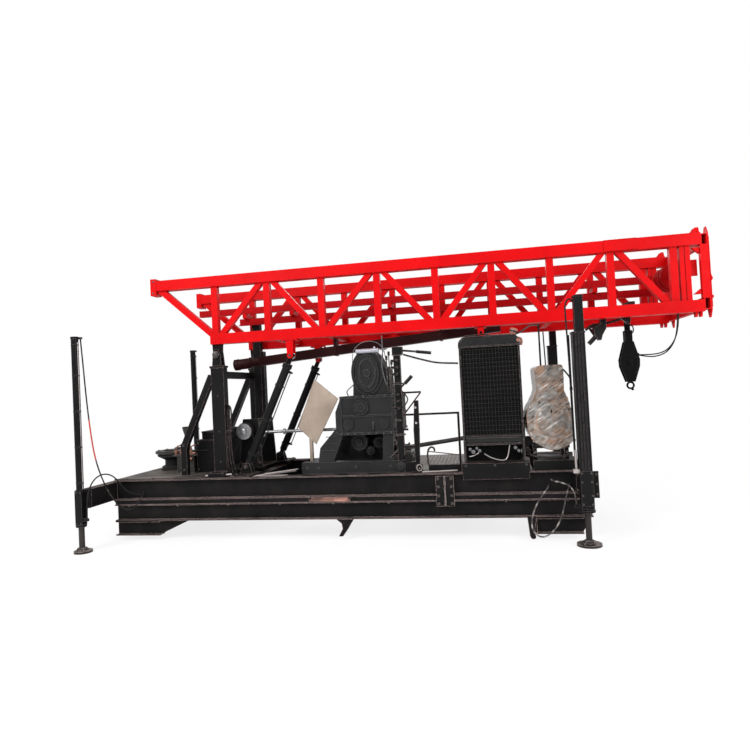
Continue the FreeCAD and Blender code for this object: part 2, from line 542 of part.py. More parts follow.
# ---- rotary table -------------------------------------------------------------------
def make_table_body():
    x = TABLE_X
    base = rod(x, 0.0, DECK_Z + 10.0 + SEAT, (0, 0, 1), 165.0, 50.0)
    neck = rod(x, 0.0, 800.0, (0, 0, 1), 125.0, 150.0)
    bowl = Part.makeCone(125.0, 215.0, 50.0, V(x, 0, 900.0), V(0, 0, 1))
    rim = rod(x, 0.0, 948.0, (0, 0, 1), 215.0, 42.0)
    drive = box(x, x + 420.0, -90.0, 90.0, 810.0, 940.0)
    block = box(x + 300.0, x + 500.0, -150.0, 150.0, DECK_Z + 10.0 + SEAT, 900.0)
    bore = rod(x, 0.0, 700.0, (0, 0, 1), 95.0, 400.0)
    seat = rod(x, 0.0, 960.0, (0, 0, 1), 150.0 + FIT, 60.0)
    return join([base, neck, bowl, rim, drive, block]).cut(bore).cut(seat)


def make_table_ring():
    x = TABLE_X
    disc = rod(x, 0.0, 990.0 + SEAT, (0, 0, 1), 245.0, 36.0)
    hub = rod(x, 0.0, 962.0, (0, 0, 1), 150.0, 40.0)
    bore = box(x - 62.0, x + 62.0, -62.0, 62.0, 900.0, 1100.0)
    return join([disc, hub]).cut(bore)


# ---- winch behind the table ---------------------------------------------------------
WINCH_X = -1915.0
WINCH_Z = 1275.0


def make_winch_frame():
    """Side cheeks and feet of the hoist between the posts."""
    x = WINCH_X
    pieces = []
    for y in (-345.0, 165.0):
        cheek = [(x - 130.0, 800.0 + SEAT), (x + 190.0, 800.0 + SEAT), (x + 150.0, 1430.0), (x - 60.0, 1430.0)]
        pieces.append(slab(cheek, y, y + 20.0))
    pieces.append(box(x - 130.0, x + 190.0, -345.0, 185.0, 800.0 + SEAT, 815.0))
    pieces.append(box(x + 118.0, x + 150.0, -345.0, 185.0, 1385.0, 1428.0))
    whole = join(pieces)
    bore = rod_mid(x, -80.0, WINCH_Z, (0, 1, 0), 30.0, 800.0)
    return whole.cut(bore)


def make_winch_drum():
    x, z = WINCH_X, WINCH_Z
    shaft = rod(x, -420.0, z, (0, 1, 0), 30.0 - FIT, 630.0)
    core = rod(x, -315.0, z, (0, 1, 0), 70.0, 470.0)
    pieces = [shaft, core]
    for y in (-320.0, 135.0):
        pieces.append(rod(x, y, z, (0, 1, 0), 115.0, 18.0))
    pieces.append(rod(x, -470.0, z, (0, 1, 0), 100.0, 14.0))
    pieces.append(rod(x, -470.0, z, (0, 1, 0), 90.0, 100.0))
    return join(pieces)


# ---- steps and boxes at the left end ------------------------------------------------
def make_left_boxes():
    """Stepped steel boxes between the table and the posts."""
    z0 = DECK_Z + 10.0
    first = join([box(-2600.0, -2330.0, -420.0, 420.0, z0 + SEAT, 1180.0),
                  box(-2520.0, -2330.0, -420.0, 420.0, 1180.0, 1290.0)])
    return [first]


def make_shelf():
    z0 = DECK_Z + 10.0
    top = box(-2950.0, -2640.0 + 30.0, -420.0, -160.0, 980.0, 996.0)
    leg = box(-2900.0, -2660.0, -400.0, -180.0, z0 + SEAT, 980.0)
    stand = box(-2880.0, -2700.0, -380.0, -200.0, 996.0, 1040.0)
    hopper = Part.makeCone(40.0, 70.0, 110.0, V(-2790.0, -290.0, 1230.0), V(0, 0, 1))
    stem = rod(-2790.0, -290.0, 1040.0, (0, 0, 1), 30.0, 190.0)
    return join([top, leg, stand, stem, hopper])


def make_fittings():
    """Brass hydraulic fittings on the shelf."""
    shapes = []
    for i in range(4):
        x = -2905.0 + 70.0 * i
        body = join([rod(x, -404.0, 996.0 + SEAT, (0, 0, 1), 15.0, 60.0),
                     rod(x, -404.0, 1020.0, (0, 0, 1), 22.0, 18.0)])
        shapes.append(body)
    return shapes


# ---- transmission -------------------------------------------------------------------

HOUSE_X, HOUSE_Z = -214.0, 1945.0   # middle of the upper housing
HOUSE_W, HOUSE_H = 192.0, 270.0     # half width and half height of it
COVER_X, COVER_Z = -208.0, 1935.0   # middle of its cover
COVER_W, COVER_H = 142.0, 226.0


def oval(x, z, w, h, y0, y1):
    """Elliptic block along Y with half-width w and half-height h."""
    if w >= h:
        ring = Part.Ellipse(V(x, y0, z), w, h)
    else:
        ring = Part.Ellipse(V(x, y0, z + h), V(x + w, y0, z), V(x, y0, z))
    face = Part.Face(Part.Wire(ring.toShape()))
    return face.extrude(V(0, y1 - y0, 0))


def make_case():
    """Cast housing of the drawworks gearing on its legs and base."""
    f = CASE_FRONT
    body = [(-545.0, 1660.0), (100.0, 1660.0), (100.0, 1205.0), (-620.0, 1205.0), (-620.0, 1480.0)]
    pieces = [slab(body, f, 250.0)]
    pieces.append(oval(HOUSE_X, HOUSE_Z, HOUSE_W, HOUSE_H, f + 20.0, f + 420.0))
    neck = [(-400.0, 1640.0), (60.0, 1640.0), (40.0, 2000.0), (-380.0, 2000.0)]
    pieces.append(slab(neck, f + 40.0, f + 400.0))
    for y0 in (f + 10.0, 130.0):
        left = [(-610.0, 1300.0), (-540.0, 1210.0), (-660.0, 930.0), (-660.0, 880.0), (-860.0, 880.0)]
        left += [(-830.0, 1060.0)]
        pieces.append(slab(left, y0, y0 + 100.0))
        right = [(-50.0, 1250.0), (70.0, 1250.0), (60.0, 880.0), (-70.0, 880.0)]
        pieces.append(slab(right, y0, y0 + 100.0))
    pieces.append(box(-1066.0, 180.0, f, f + 160.0, DECK_Z + SEAT, DECK_Z + 138.0))
    pieces.append(box(-1066.0, 180.0, 120.0, 280.0, DECK_Z + SEAT, DECK_Z + 138.0))
    for x in (-1066.0, 60.0):
        pieces.append(box(x, x + 120.0, f, 860.0, DECK_Z + SEAT, DECK_Z + 110.0))
    # bearing of the long shaft, flange strips along the joints
    pieces.append(box(20.0, 20.0 + BEARING_L, SHAFT_Y - 60.0, SHAFT_Y + 60.0, 930.0, 1210.0))
    pieces.append(box(-560.0, 112.0, f - 10.0, 262.0, 1640.0, 1668.0))
    pieces.append(box(-632.0, 112.0, f - 10.0, 262.0, 1205.0, 1232.0))
    pieces.append(box(-600.0, 110.0, f - 8.0, 260.0, 1418.0, 1440.0))
    return join(pieces).cut(shaft_bore())


def make_cover():
    """Front cover of the upper gear, with its raised ring and hub."""
    f = CASE_FRONT + 20.0 - SEAT
    plate = oval(COVER_X, COVER_Z, COVER_W, COVER_H, f - 26.0, f)
    ring = oval(COVER_X, COVER_Z, COVER_W - 35.0, COVER_H - 45.0, f - 40.0, f - 20.0)
    well = oval(COVER_X, COVER_Z, COVER_W - 55.0, COVER_H - 70.0, f - 60.0, f - 30.0)
    hub = rod(COVER_X, f - 46.0, COVER_Z, (0, 1, 0), 40.0, 30.0)
    return join([plate, ring]).cut(well).fuse(hub)


def make_case_bosses():
    """Round bearing cap on the front of the case, and the brake drum end."""
    f = CASE_FRONT - SEAT
    cap = join([rod(-300.0, f - 30.0, 1530.0, (0, 1, 0), 90.0, 30.0),
                rod(-300.0, f - 46.0, 1530.0, (0, 1, 0), 52.0, 20.0)])
    small = rod(-30.0, f - 22.0, 1330.0, (0, 1, 0), 50.0, 22.0)
    third = rod(-460.0, f - 22.0, 1330.0, (0, 1, 0), 60.0, 22.0)
    return [cap, small, third]


GEAR_X, GEAR_Z = -385.0, 1100.0


def make_gear():
    """Toothless blank of the lower gear seen between the legs, on its shaft."""
    wheel = rod(GEAR_X, -560.0, GEAR_Z, (0, 1, 0), 92.0, 60.0)
    hub = rod(GEAR_X, -600.0, GEAR_Z, (0, 1, 0), 40.0, 660.0)
    return join([wheel, hub])


def make_gear_bearings():
    """Hangers that carry the lower shaft under the case."""
    shapes = []
    for y in (-490.0, 10.0):
        arm = box(GEAR_X - 60.0, GEAR_X + 60.0, y, y + 40.0, 1040.0, 1205.0 - SEAT)
        shapes.append(arm.cut(rod(GEAR_X, y - 10.0, GEAR_Z, (0, 1, 0), 40.0 + FIT, 80.0)))
    return shapes


def make_brake_cylinder():
    """Bright cylinder lying on top of the case."""
    top = HOUSE_Z + HOUSE_H
    x, y = -195.0, CASE_FRONT + 10.0
    barrel = rod_mid(x, y, top - 20.0, (1, 0, 0), 27.0, 276.0)
    saddle = box(x - 60.0, x + 60.0, y, y + 150.0, top - 45.0, top + 8.0)
    room = oval(HOUSE_X, HOUSE_Z, HOUSE_W + SEAT, HOUSE_H + SEAT, CASE_FRONT, CASE_FRONT + 420.0)
    return join([barrel, saddle]).cut(room)


GUARD_Y = -452.0      # near face of the sheet guard


def make_guard():
    """Broad sheet guard leaning between the base and the case, on one leg."""
    outline = [(-950.0, 1900.0), (-650.0, 1640.0), (-960.0, 1080.0), (-1190.0, 1300.0)]
    sheet = slab(outline, GUARD_Y, GUARD_Y + 6.0)
    leg = box(-1050.0, -1010.0, GUARD_Y, GUARD_Y + 40.0, 860.0 + SEAT, 1400.0)
    return join([sheet, leg])


# long shaft from the case to the pump under the film
SHAFT_Y = -500.0      # place across the skid
SHAFT_X0 = 90.0       # left end, in its bearing on the case
SHAFT_Z0 = 1000.0
SHAFT_Z1 = 1192.0
SHAFT_X1 = UNIT_X - 280.0   # right end, in its bearing on the pump stand
SHAFT_R = 26.0
BEARING_L = 70.0      # length of each bearing block
SHAFT_LEN = math.hypot(SHAFT_X1 - SHAFT_X0, SHAFT_Z1 - SHAFT_Z0)
SHAFT_TILT = math.degrees(math.atan2(SHAFT_Z1 - SHAFT_Z0, SHAFT_X1 - SHAFT_X0))


def on_shaft(shape):
    """Tilt a shape built level on the left end of the shaft to the line of the shaft."""
    return turned(shape, SHAFT_X0, SHAFT_Z0, SHAFT_TILT)


def shaft_bore():
    return on_shaft(rod(SHAFT_X0 - 200.0, SHAFT_Y, SHAFT_Z0, (1, 0, 0), SHAFT_R + FIT, SHAFT_LEN + 400.0))


def make_drive_shaft():
    """Shaft with a crossed joint near each end."""
    y, z = SHAFT_Y, SHAFT_Z0
    pieces = [rod(SHAFT_X0 - 60.0, y, z, (1, 0, 0), SHAFT_R, SHAFT_LEN + 90.0)]
    for x in (SHAFT_X0 + 70.0, SHAFT_X0 + SHAFT_LEN - 150.0):
        pieces.append(rod(x, y, z, (1, 0, 0), 56.0, 14.0))
        pieces.append(rod(x + 60.0, y, z, (1, 0, 0), 56.0, 14.0))
        pieces.append(box(x + 10.0, x + 64.0, y - 40.0, y + 40.0, z - 18.0, z + 18.0))
        pieces.append(box(x + 10.0, x + 64.0, y - 18.0, y + 18.0, z - 40.0, z + 40.0))
    return on_shaft(join(pieces))


# ---- control station ----------------------------------------------------------------
def make_controls():
    """Valve column, frame bars and levers beside the case."""
    y0, y1 = -760.0, -700.0
    pieces = [box(115.0, 195.0, y0, y1, 888.0 + SEAT, 2130.0)]
    pieces.append(box(105.0, 225.0, y0 - 15.0, y1 + 15.0, 2130.0, 2220.0))
    pieces.append(box(190.0, 418.0, y0 + 10.0, y0 + 30.0, 1668.0, 1690.0))
    post = [(335.0, 1583.0), (384.0, 1583.0), (382.0, 1240.0), (366.0, DECK_Z + SEAT)]
    post += [(318.0, DECK_Z + SEAT), (312.0, 1240.0)]
    pieces.append(slab(post, y0, y0 + 40.0))
    pieces.append(box(190.0, 850.0, y0 + 10.0, y0 + 30.0, 1407.0, 1431.0))
    pieces.append(box(824.0, 850.0, y0 + 10.0, y0 + 30.0, DECK_Z + 80.0, 1431.0))
    pieces.append(box(468.0, 850.0, y0 - 20.0, y0 + 60.0, DECK_Z + SEAT, DECK_Z + 82.0))
    pieces.append(strut(215.0, 2175.0, 551.0, 2130.0, 20.0, y0 + 20.0, y0 + 36.0))
    pieces.append(strut(190.0, 1745.0, 312.0, 1862.0, 20.0, y0 + 20.0, y0 + 34.0))
    pieces.append(strut(416.0, 1676.0, 190.0, 1400.0, 16.0, y0 + 15.0, y0 + 30.0))
    pieces.append(box(190.0, 340.0, y0 + 10.0, y0 + 40.0, 1030.0, 1060.0))
    pieces.append(box(195.0, 330.0, y0, y1, DECK_Z + SEAT, 870.0))
    return join(pieces)


# ---- engine, radiator and fan -------------------------------------------------------
RAD_Z0, RAD_Z1 = 1160.0, 2150.0
TANK_H = 126.0        # height of the upper tank
TANK_TOP = RAD_Z1 + TANK_H
BASE_TOP = DECK_Z + 102.0   # top of the box under the radiator


def make_radiator():
    """Core with its side posts."""
    f = RAD_FRONT
    core = box(RAD_X0 + 25.0, RAD_X1 - 25.0, f + 30.0, f + 120.0, RAD_Z0, RAD_Z1)
    posts = [box(RAD_X0, RAD_X0 + 30.0, f, f + 150.0, BASE_TOP, RAD_Z1)]
    posts.append(box(RAD_X1 - 30.0, RAD_X1, f, f + 150.0, BASE_TOP, RAD_Z1))
    shroud = box(RAD_X0 + 25.0, RAD_X1 - 25.0, f + 120.0, f + 200.0, RAD_Z0, RAD_Z1)
    tunnel = rod((RAD_X0 + RAD_X1) / 2.0, f + 119.0, 1640.0, (0, 1, 0), 305.0, 100.0)
    return join([core, shroud.cut(tunnel)] + posts)


def make_tanks():
    """Top and bottom tanks of the radiator."""
    f = RAD_FRONT
    top = box(RAD_X0 - 4.0, RAD_X1 + 4.0, f + 5.0, f + 170.0, RAD_Z1 + SEAT, TANK_TOP)
    corner = [e for e in top.Edges if e.BoundBox.ZMin > TANK_TOP - 1.0 and e.BoundBox.XLength < 1.0]
    top = top.makeFillet(95.0, corner)
    soft = [e for e in top.Edges if e.BoundBox.ZMax > RAD_Z1 + 20.0 and e.BoundBox.YLength < 1.0]
    top = top.makeFillet(22.0, soft)
    neck = rod(RAD_X1 - NECK_IN, f + 60.0, TANK_TOP - 40.0, (0.35, 0, 1), 34.0, 70.0)
    cap = rod(RAD_X1 - NECK_IN + 23.0, f + 60.0, TANK_TOP + 24.0, (0.35, 0, 1), 44.0, 18.0)
    low = box(RAD_X0 + 35.0, RAD_X1 - 35.0, f + 20.0, f + 140.0, 1065.0, RAD_Z0 - SEAT)
    low = low.makeFillet(18.0, [e for e in low.Edges if e.BoundBox.ZMax < 1066.0])
    return [join([top, neck, cap]), low]


def make_radiator_base():
    """Apron box under the radiator, overhanging the beam."""
    f = RAD_FRONT
    pieces = [box(RAD_X0 - 30.0, RAD_X1 + 40.0, f - 35.0, f + 190.0, DECK_Z + SEAT, BASE_TOP - SEAT)]
    pieces.append(box(RAD_X0 - 20.0, RAD_X1 + 30.0, f - 35.0, f - 21.0, DECK_Z - 78.0, DECK_Z + 50.0))
    return join(pieces)


ENG_X = (RAD_X0 + RAD_X1) / 2.0


def make_engine():
    """Engine lying across the skid behind the radiator."""
    x = ENG_X
    block = box(x - 230.0, x + 230.0, -380.0, 560.0, 1120.0, 1640.0)
    sump = box(x - 180.0, x + 180.0, -340.0, 520.0, 930.0, 1120.0)
    head = box(x - 160.0, x + 160.0, -360.0, 540.0, 1640.0, 1760.0)
    rocker = box(x - 110.0, x + 110.0, -340.0, 520.0, 1760.0, 1850.0)
    bell = rod(x, 560.0, 1330.0, (0, 1, 0), 270.0, 110.0)
    nose = rod(x, -470.0, 1640.0, (0, 1, 0), 60.0, 100.0)
    foot = []
    for y in (-300.0, 400.0):
        foot.append(box(x - 330.0, x + 330.0, y, y + 90.0, 1130.0, 1180.0))
        foot.append(box(x - 330.0, x - 270.0, y, y + 90.0, DECK_Z + 60.0 + SEAT, 1130.0))
        foot.append(box(x + 270.0, x + 330.0, y, y + 90.0, DECK_Z + 60.0 + SEAT, 1130.0))
    bore = rod(x, -480.0, 1640.0, (0, 1, 0), 30.0 + FIT, 60.0)
    return join([block, sump, head, rocker, bell, nose] + foot).cut(bore)


def make_engine_rails():
    """Two rails across the skid that carry the engine."""
    rails = []
    for x in (ENG_X - 330.0, ENG_X + 270.0):
        rails.append(box(x, x + 60.0, -680.0, 880.0, DECK_Z + SEAT, DECK_Z + 60.0))
    return rails


def make_manifold():
    """Exhaust manifold, stack and air cleaner on the engine."""
    x = ENG_X
    log = box(x + 160.0 + SEAT, x + 235.0, -300.0, 480.0, 1660.0, 1730.0)
    return join([log, rod(x + 204.0, 420.0, 1700.0, (0, 0, 1), 42.0, 420.0)])


def make_air_cleaner():
    x = ENG_X
    can = rod(x - 10.0, 200.0, 1850.0 + SEAT, (0, 0, 1), 105.0, 240.0)
    return join([can, rod(x - 10.0, 200.0, 2090.0, (0, 0, 1), 60.0, 60.0)])


def make_fan():
    """Fan in the shroud, six pitched blades on a hub."""
    x, z = ENG_X, 1640.0
    pieces = [rod(x, -660.0, z, (0, 1, 0), 70.0, 60.0), rod(x, -605.0, z, (0, 1, 0), 30.0, 175.0)]
    for i in range(6):
        blade = box(x + 50.0, x + 270.0, -634.0, -626.0, z - 55.0, z + 55.0)
        blade.rotate(V(x, -630.0, z), V(1, 0, 0), 28.0)
        blade.rotate(V(x, -630.0, z), V(0, 1, 0), 60.0 * i)
        pieces.append(blade)
    return join(pieces)


# ---- unit under plastic film --------------------------------------------------------
UNIT_TOP = 1886.0     # top of the wrapped set


def make_wrapped_unit():
    """Closed body standing for the film-covered pump set."""
    x = UNIT_X
    upper = box(x - 105.0, x + 162.0, -850.0, -470.0, UNIT_Z + 190.0, UNIT_TOP)
    upper = upper.makeFillet(45.0, upper.Edges)
    lower = rod(x, -880.0, UNIT_Z, (0, 1, 0), UNIT_R, 560.0)
    return join([upper, lower])


def make_unit_stand():
    """Stand below the wrapped unit, with the bearing of the long shaft."""
    x = UNIT_X
    pieces = [box(x - 200.0, x + 270.0, -870.0, -300.0, DECK_Z + SEAT, 860.0)]
    for dx in (-190.0, 150.0):
        for y in (-800.0, -420.0):
            pieces.append(box(x + dx, x + dx + 40.0, y, y + 60.0, 860.0, 1020.0))
    pieces.append(box(x - 200.0, x + 200.0, -820.0, -360.0, 990.0, 1020.0))
    pieces.append(box(x - 200.0, x - 130.0, SHAFT_Y - 55.0, SHAFT_Y + 55.0, 860.0, 1020.0))
    pieces.append(box(x - 320.0, x - 140.0, SHAFT_Y - 55.0, SHAFT_Y + 55.0, 960.0, 1020.0))
    pieces.append(box(x - 320.0, x - 320.0 + BEARING_L, SHAFT_Y - 60.0, SHAFT_Y + 60.0, 1000.0, 1260.0))
    room = rod(x, -900.0, UNIT_Z, (0, 1, 0), UNIT_R + SEAT, 620.0)
    return join(pieces).cut(shaft_bore()).cut(room)


def make_unit_pipes():
    pipe = rod(UNIT_X + 252.0, -800.0, 860.0 + SEAT, (0, 0, 1), 12.0, 1370.0)
    pole = rod(UNIT_X - 50.0, -700.0, UNIT_TOP + SEAT, (0, 0, 1), 10.0, 294.0)
    return [pipe, pole]


# ---- hook block ---------------------------------------------------------------------
def make_hook_block():
    """Cheeks, swivel and hook of the travelling block."""
    x, y, z = HOOK_X, HOOK_Y, HOOK_Z
    eye = rod_mid(x, y, z, (0, 1, 0), 42.0, 30.0)
    neck = box(x - 16.0, x + 16.0, y - 15.0, y + 15.0, z - 90.0, z - 30.0)
    shank = rod(x, y, z - 190.0, (0, 0, 1), 32.0, 130.0)
    yoke = box(x - 40.0, x + 40.0, y - 55.0, y + 55.0, z - 345.0, z - 180.0)
    shell = [(x - 50.0, z - 310.0), (x + 50.0, z - 310.0), (x + 108.0, z - 520.0), (x + 104.0, z - 600.0)]
    shell += [(x + 45.0, z - 780.0), (x - 45.0, z - 780.0), (x - 104.0, z - 600.0), (x - 108.0, z - 520.0)]
    left = slab(shell, y - 55.0, y - 40.0)
    right = slab(shell, y + 40.0, y + 55.0)
    foot = box(x - 40.0, x + 40.0, y - 45.0, y + 45.0, z - 780.0, z - 715.0)
    bar = box(x + 88.0, x + 102.0, y - 55.0, y + 55.0, z - 490.0, z - 450.0)
    bore = rod_mid(x, y, z, (0, 1, 0), 20.0, 100.0)
    pin_bore = rod_mid(x, y, z - 550.0, (0, 1, 0), 20.0, 200.0)
    ring = Part.makeTorus(36.0, 11.0, V(x, y, z - 820.0), V(0, 1, 0))
    return join([eye, neck, shank, yoke, left, right, foot, bar, ring]).cut(bore).cut(pin_bore)


def make_hook_sheave():
    x, y, z = HOOK_X, HOOK_Y, HOOK_Z - 550.0
    wheel = rod_mid(x, y, z, (0, 1, 0), 100.0, 60.0)
    groove = Part.makeTorus(104.0, 16.0, V(x, y, z), V(0, 1, 0))
    shaft = rod_mid(x, y, z, (0, 1, 0), 20.0 - FIT, 126.0)
    return wheel.cut(groove).fuse(shaft)


def make_hook_hanger():
    """Fork and beam of the mast that the block hangs from."""
    x, y, z = HOOK_X, HOOK_Y, HOOK_Z
    pieces = []
    for a in (y - 35.0, y + 19.0):
        pieces.append(box(x - 35.0, x + 35.0, a, a + 16.0, z - 40.0, z + 90.0))
    pieces.append(box(x - 35.0, x + 35.0, y - 35.0, y + 35.0, z + 60.0, z + 90.0))
    pieces.append(rod_mid(x, y, z, (0, 1, 0), 20.0 - FIT, 80.0))
    pieces.append(box(x - 40.0, x + 40.0, -SIDE_Y + 65.0 + SEAT, SIDE_Y - 65.0 - SEAT, z + 80.0, z + 130.0))
    return join(pieces)


def make_tong():
    """Pipe clamp on its arm, hung under the near chord beside the block."""
    y = -450.0
    z = MAST_LOW
    arm = strut(2380.0, z - 75.0, 2700.0, z - 13.0, 26.0, y - 14.0, y + 14.0)
    jaw = rod_mid(2470.0, y, z - 115.0, (0, 1, 0), 62.0, 60.0)
    jaw = jaw.cut(rod_mid(2470.0, y, z - 115.0, (0, 1, 0), 34.0, 80.0))
    stub = rod(2520.0, y, z - 75.0, (0, 0, 1), 24.0, 75.0)
    handle = strut(2375.0, z - 75.0, 2440.0, z - 185.0, 22.0, y - 11.0, y + 11.0)
    hanger = box(2506.0, 2534.0, -SIDE_Y + CHORD / 2.0 + SEAT, y + 14.0, z, z + 28.0)
    drop = box(2506.0, 2534.0, y - 14.0, y + 14.0, z - 25.0, z + 28.0)
    return join([arm, jaw, stub, handle, hanger, drop])


# ---- crown sheaves ------------------------------------------------------------------
def make_crown_shaft():
    shaft = rod_mid(CROWN_X, 0.0, CROWN_Z, (0, 1, 0), 35.0, 2.0 * (SIDE_Y - 40.0) - 2.0 * SEAT)
    return shaft


def make_crown_sheaves():
    shapes = []
    for y in (-130.0, 0.0, 130.0):
        wheel = rod_mid(CROWN_X, y, CROWN_Z, (0, 1, 0), 150.0, 56.0)
        groove = Part.makeTorus(154.0, 16.0, V(CROWN_X, y, CROWN_Z), V(0, 1, 0))
        bore = rod_mid(CROWN_X, y, CROWN_Z, (0, 1, 0), 35.0 + FIT, 80.0)
        shapes.append(wheel.cut(groove).cut(bore))
    return shapes


# ---- hoses ----------------------------------------------------------------------------
WEB_FACE = -(WEB_Y + WEB_T / 2.0)


def make_leg_hoses():
    """Pressure hoses from the near left leg to the skid."""
    down = [(-3511.0, -1400.0, 2499.3), (-3497.0, -1402.0, 2330.0), (-3484.0, -1398.0, 2100.0),
            (-3470.0, -1396.0, 1870.0), (-3455.0, -1391.0, 1640.0), (-3436.0, -1384.0, 1410.0),
            (-3418.0, -1370.0, 1190.0), (-3396.0, -1335.0, 985.0), (-3378.0, -1262.0, 790.0),
            (-3362.0, -1160.0, 610.0), (-3325.0, -1055.0, 460.0), (-3230.0, -985.0, 385.0),
            (-3120.0, -960.0, 470.0), (-3112.0, WEB_FACE - 6.3, 600.0)]
    over = [(-3481.0, -1438.0, 398.6), (-3478.0, -1438.0, 540.0), (-3478.0, -1410.0, 710.0),
            (-3470.0, -1310.0, 835.0), (-3446.0, -1170.0, 880.0), (-3412.0, -1030.0, 835.0),
            (-3360.0, -945.0, 700.0), (-3280.0, -915.0, 590.0), (-3170.0, WEB_FACE - 7.0, 560.0)]
    return [hose(down, 8.0), hose(over, 8.0)]


def make_end_hoses():
    """Hoses at the right end: one to the near leg and one hanging loop."""
    lead = [(1816.0, WEB_FACE - 1.2, 650.0), (1822.0, -985.0, 652.0), (1880.0, -1072.0, 655.0),
            (1985.0, -1090.0, 620.0), (2034.0, -1096.0, 520.0), (2038.0, -1096.0, 422.7)]
    loop = [(1790.0, WEB_FACE - 2.0, 590.0), (1775.0, -955.0, 585.0), (1712.0, -1012.0, 520.0),
            (1628.0, -1016.0, 400.0), (1572.0, -1012.0, 250.0), (1580.0, -1006.0, 110.0),
            (1680.0, -1002.0, 40.0), (1800.0, -1002.0, 110.0), (1880.0, -1004.0, 240.0),
            (1925.0, -1004.0, 390.0), (1958.0, -996.0, 520.0), (1996.0, -930.0, 592.0),
            (2012.0, WEB_FACE - 3.2, 600.0)]
    return [hose(lead, 8.0), hose(loop, 8.0)]


def make_mast_hoses():
    """Two lines from the mast head down to the hanging block."""
    x = HOOK_X + 105.5
    z = HOOK_Z - 470.0
    shapes = []
    for y, drop in ((-16.0, 0.0), (16.0, -26.0)):
        line = [(3292.0, -616.0 + y, MAST_LOW - 3.2), (3288.0, -600.0 + y, 2270.0 + drop / 2.0),
                (3262.0, -562.0 + y, 2130.0 + drop), (3208.0, -500.0 + y, 2030.0 + drop),
                (3140.0, -425.0 + y, 1985.0 + drop), (3040.0, -345.0 + y, z - 8.0 + drop),
                (x, HOOK_Y + y, z)]
        shapes.append(hose(line, 7.0))
    return shapes


def main():
    save("skid_frame", make_skid())
    save("deck_plates", make_deck())
    save("mast_posts", make_posts())
    save("mast_pins", make_pins())
    save("leg_tubes_left", make_leg_housing_left())
    save("leg_tubes_right", make_leg_housing_right())
    long_l = 2300.0
    long_r = 1900.0
    for side, y in (("near", -1.0), ("far", 1.0)):
        left = make_leg_rod(LEG_L_X, y * LEG_L_Y, ROD_L, long_l, 20.0, PAD_L, PAD_SHIFT)
        save("leg_left_" + side, left)
        right = make_leg_rod(LEG_R_X, y * LEG_R_Y, ROD_R, long_r, LEG_R_HALF - 11.0, PAD_R, 0.0)
        save("leg_right_" + side, right)
    save("mast_frame", make_mast())
    save("mast_guides", make_guides())
    save("kelly_bar", make_kelly())
    save("kelly_hangers", make_kelly_hangers())
    for side, y in (("near", -LUFF_Y), ("far", LUFF_Y)):
        save("luff_barrel_" + side, make_barrel(y))
        save("luff_ram_" + side, make_ram(y))
    save("luff_feet", make_luff_feet())
    save("table_body", make_table_body())
    save("table_ring", make_table_ring())
    save("winch_frame", make_winch_frame())
    save("winch_drum", make_winch_drum())
    save("left_boxes", make_left_boxes())
    save("tool_shelf", make_shelf())
    save("brass_fittings", make_fittings())
    save("gear_case", make_case())
    save("case_cover", make_cover())
    save("case_bosses", make_case_bosses())
    save("lower_gear", make_gear())
    save("gear_hangers", make_gear_bearings())
    save("brake_cylinder", make_brake_cylinder())
    save("drive_shaft", make_drive_shaft())
    save("sheet_guard", make_guard())
    save("pipe_tong", make_tong())
    save("control_stand", make_controls())
    save("radiator_core", make_radiator())
    save("radiator_tanks", make_tanks())
    save("radiator_base", make_radiator_base())
    save("engine_block", make_engine())
    save("engine_rails", make_engine_rails())
    save("exhaust", make_manifold())
    save("air_cleaner", make_air_cleaner())
    save("engine_fan", make_fan())
    save("wrapped_unit", make_wrapped_unit())
    save("unit_stand", make_unit_stand())
    save("unit_pipes", make_unit_pipes())
    save("hook_block", make_hook_block())
    save("hook_sheave", make_hook_sheave())
    save("hook_hanger", make_hook_hanger())
    save("crown_shaft", make_crown_shaft())
    save("crown_sheaves", make_crown_sheaves())
    save("leg_hoses", make_leg_hoses())
    save("end_hoses", make_end_hoses())
    save("mast_hoses", make_mast_hoses())


main()
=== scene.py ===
import math

import bpy
import numpy as np
from mathutils import Matrix, Vector


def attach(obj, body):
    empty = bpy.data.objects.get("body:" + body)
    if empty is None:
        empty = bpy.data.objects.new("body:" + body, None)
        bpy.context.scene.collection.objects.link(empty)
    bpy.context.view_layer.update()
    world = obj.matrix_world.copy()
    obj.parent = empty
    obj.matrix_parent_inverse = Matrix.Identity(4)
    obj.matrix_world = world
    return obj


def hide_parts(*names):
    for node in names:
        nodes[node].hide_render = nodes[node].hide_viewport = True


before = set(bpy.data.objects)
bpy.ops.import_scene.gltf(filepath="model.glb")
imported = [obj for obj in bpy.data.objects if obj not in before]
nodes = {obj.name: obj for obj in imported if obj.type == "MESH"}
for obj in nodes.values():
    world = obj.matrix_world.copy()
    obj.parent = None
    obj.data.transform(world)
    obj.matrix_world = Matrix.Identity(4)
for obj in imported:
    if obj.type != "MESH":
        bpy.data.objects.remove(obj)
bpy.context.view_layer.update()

# ---- camera, lamps and floor ---------------------------------------------------------
# The rig stands on a plain pale floor and is seen from its long side, a little to the
# right of its middle and from eye height. Soft lamps from the front and above light it.
def placed(name, data):
    """New object in the scene that carries the data."""
    made = bpy.data.objects.new(name, data)
    bpy.context.scene.collection.objects.link(made)
    return made


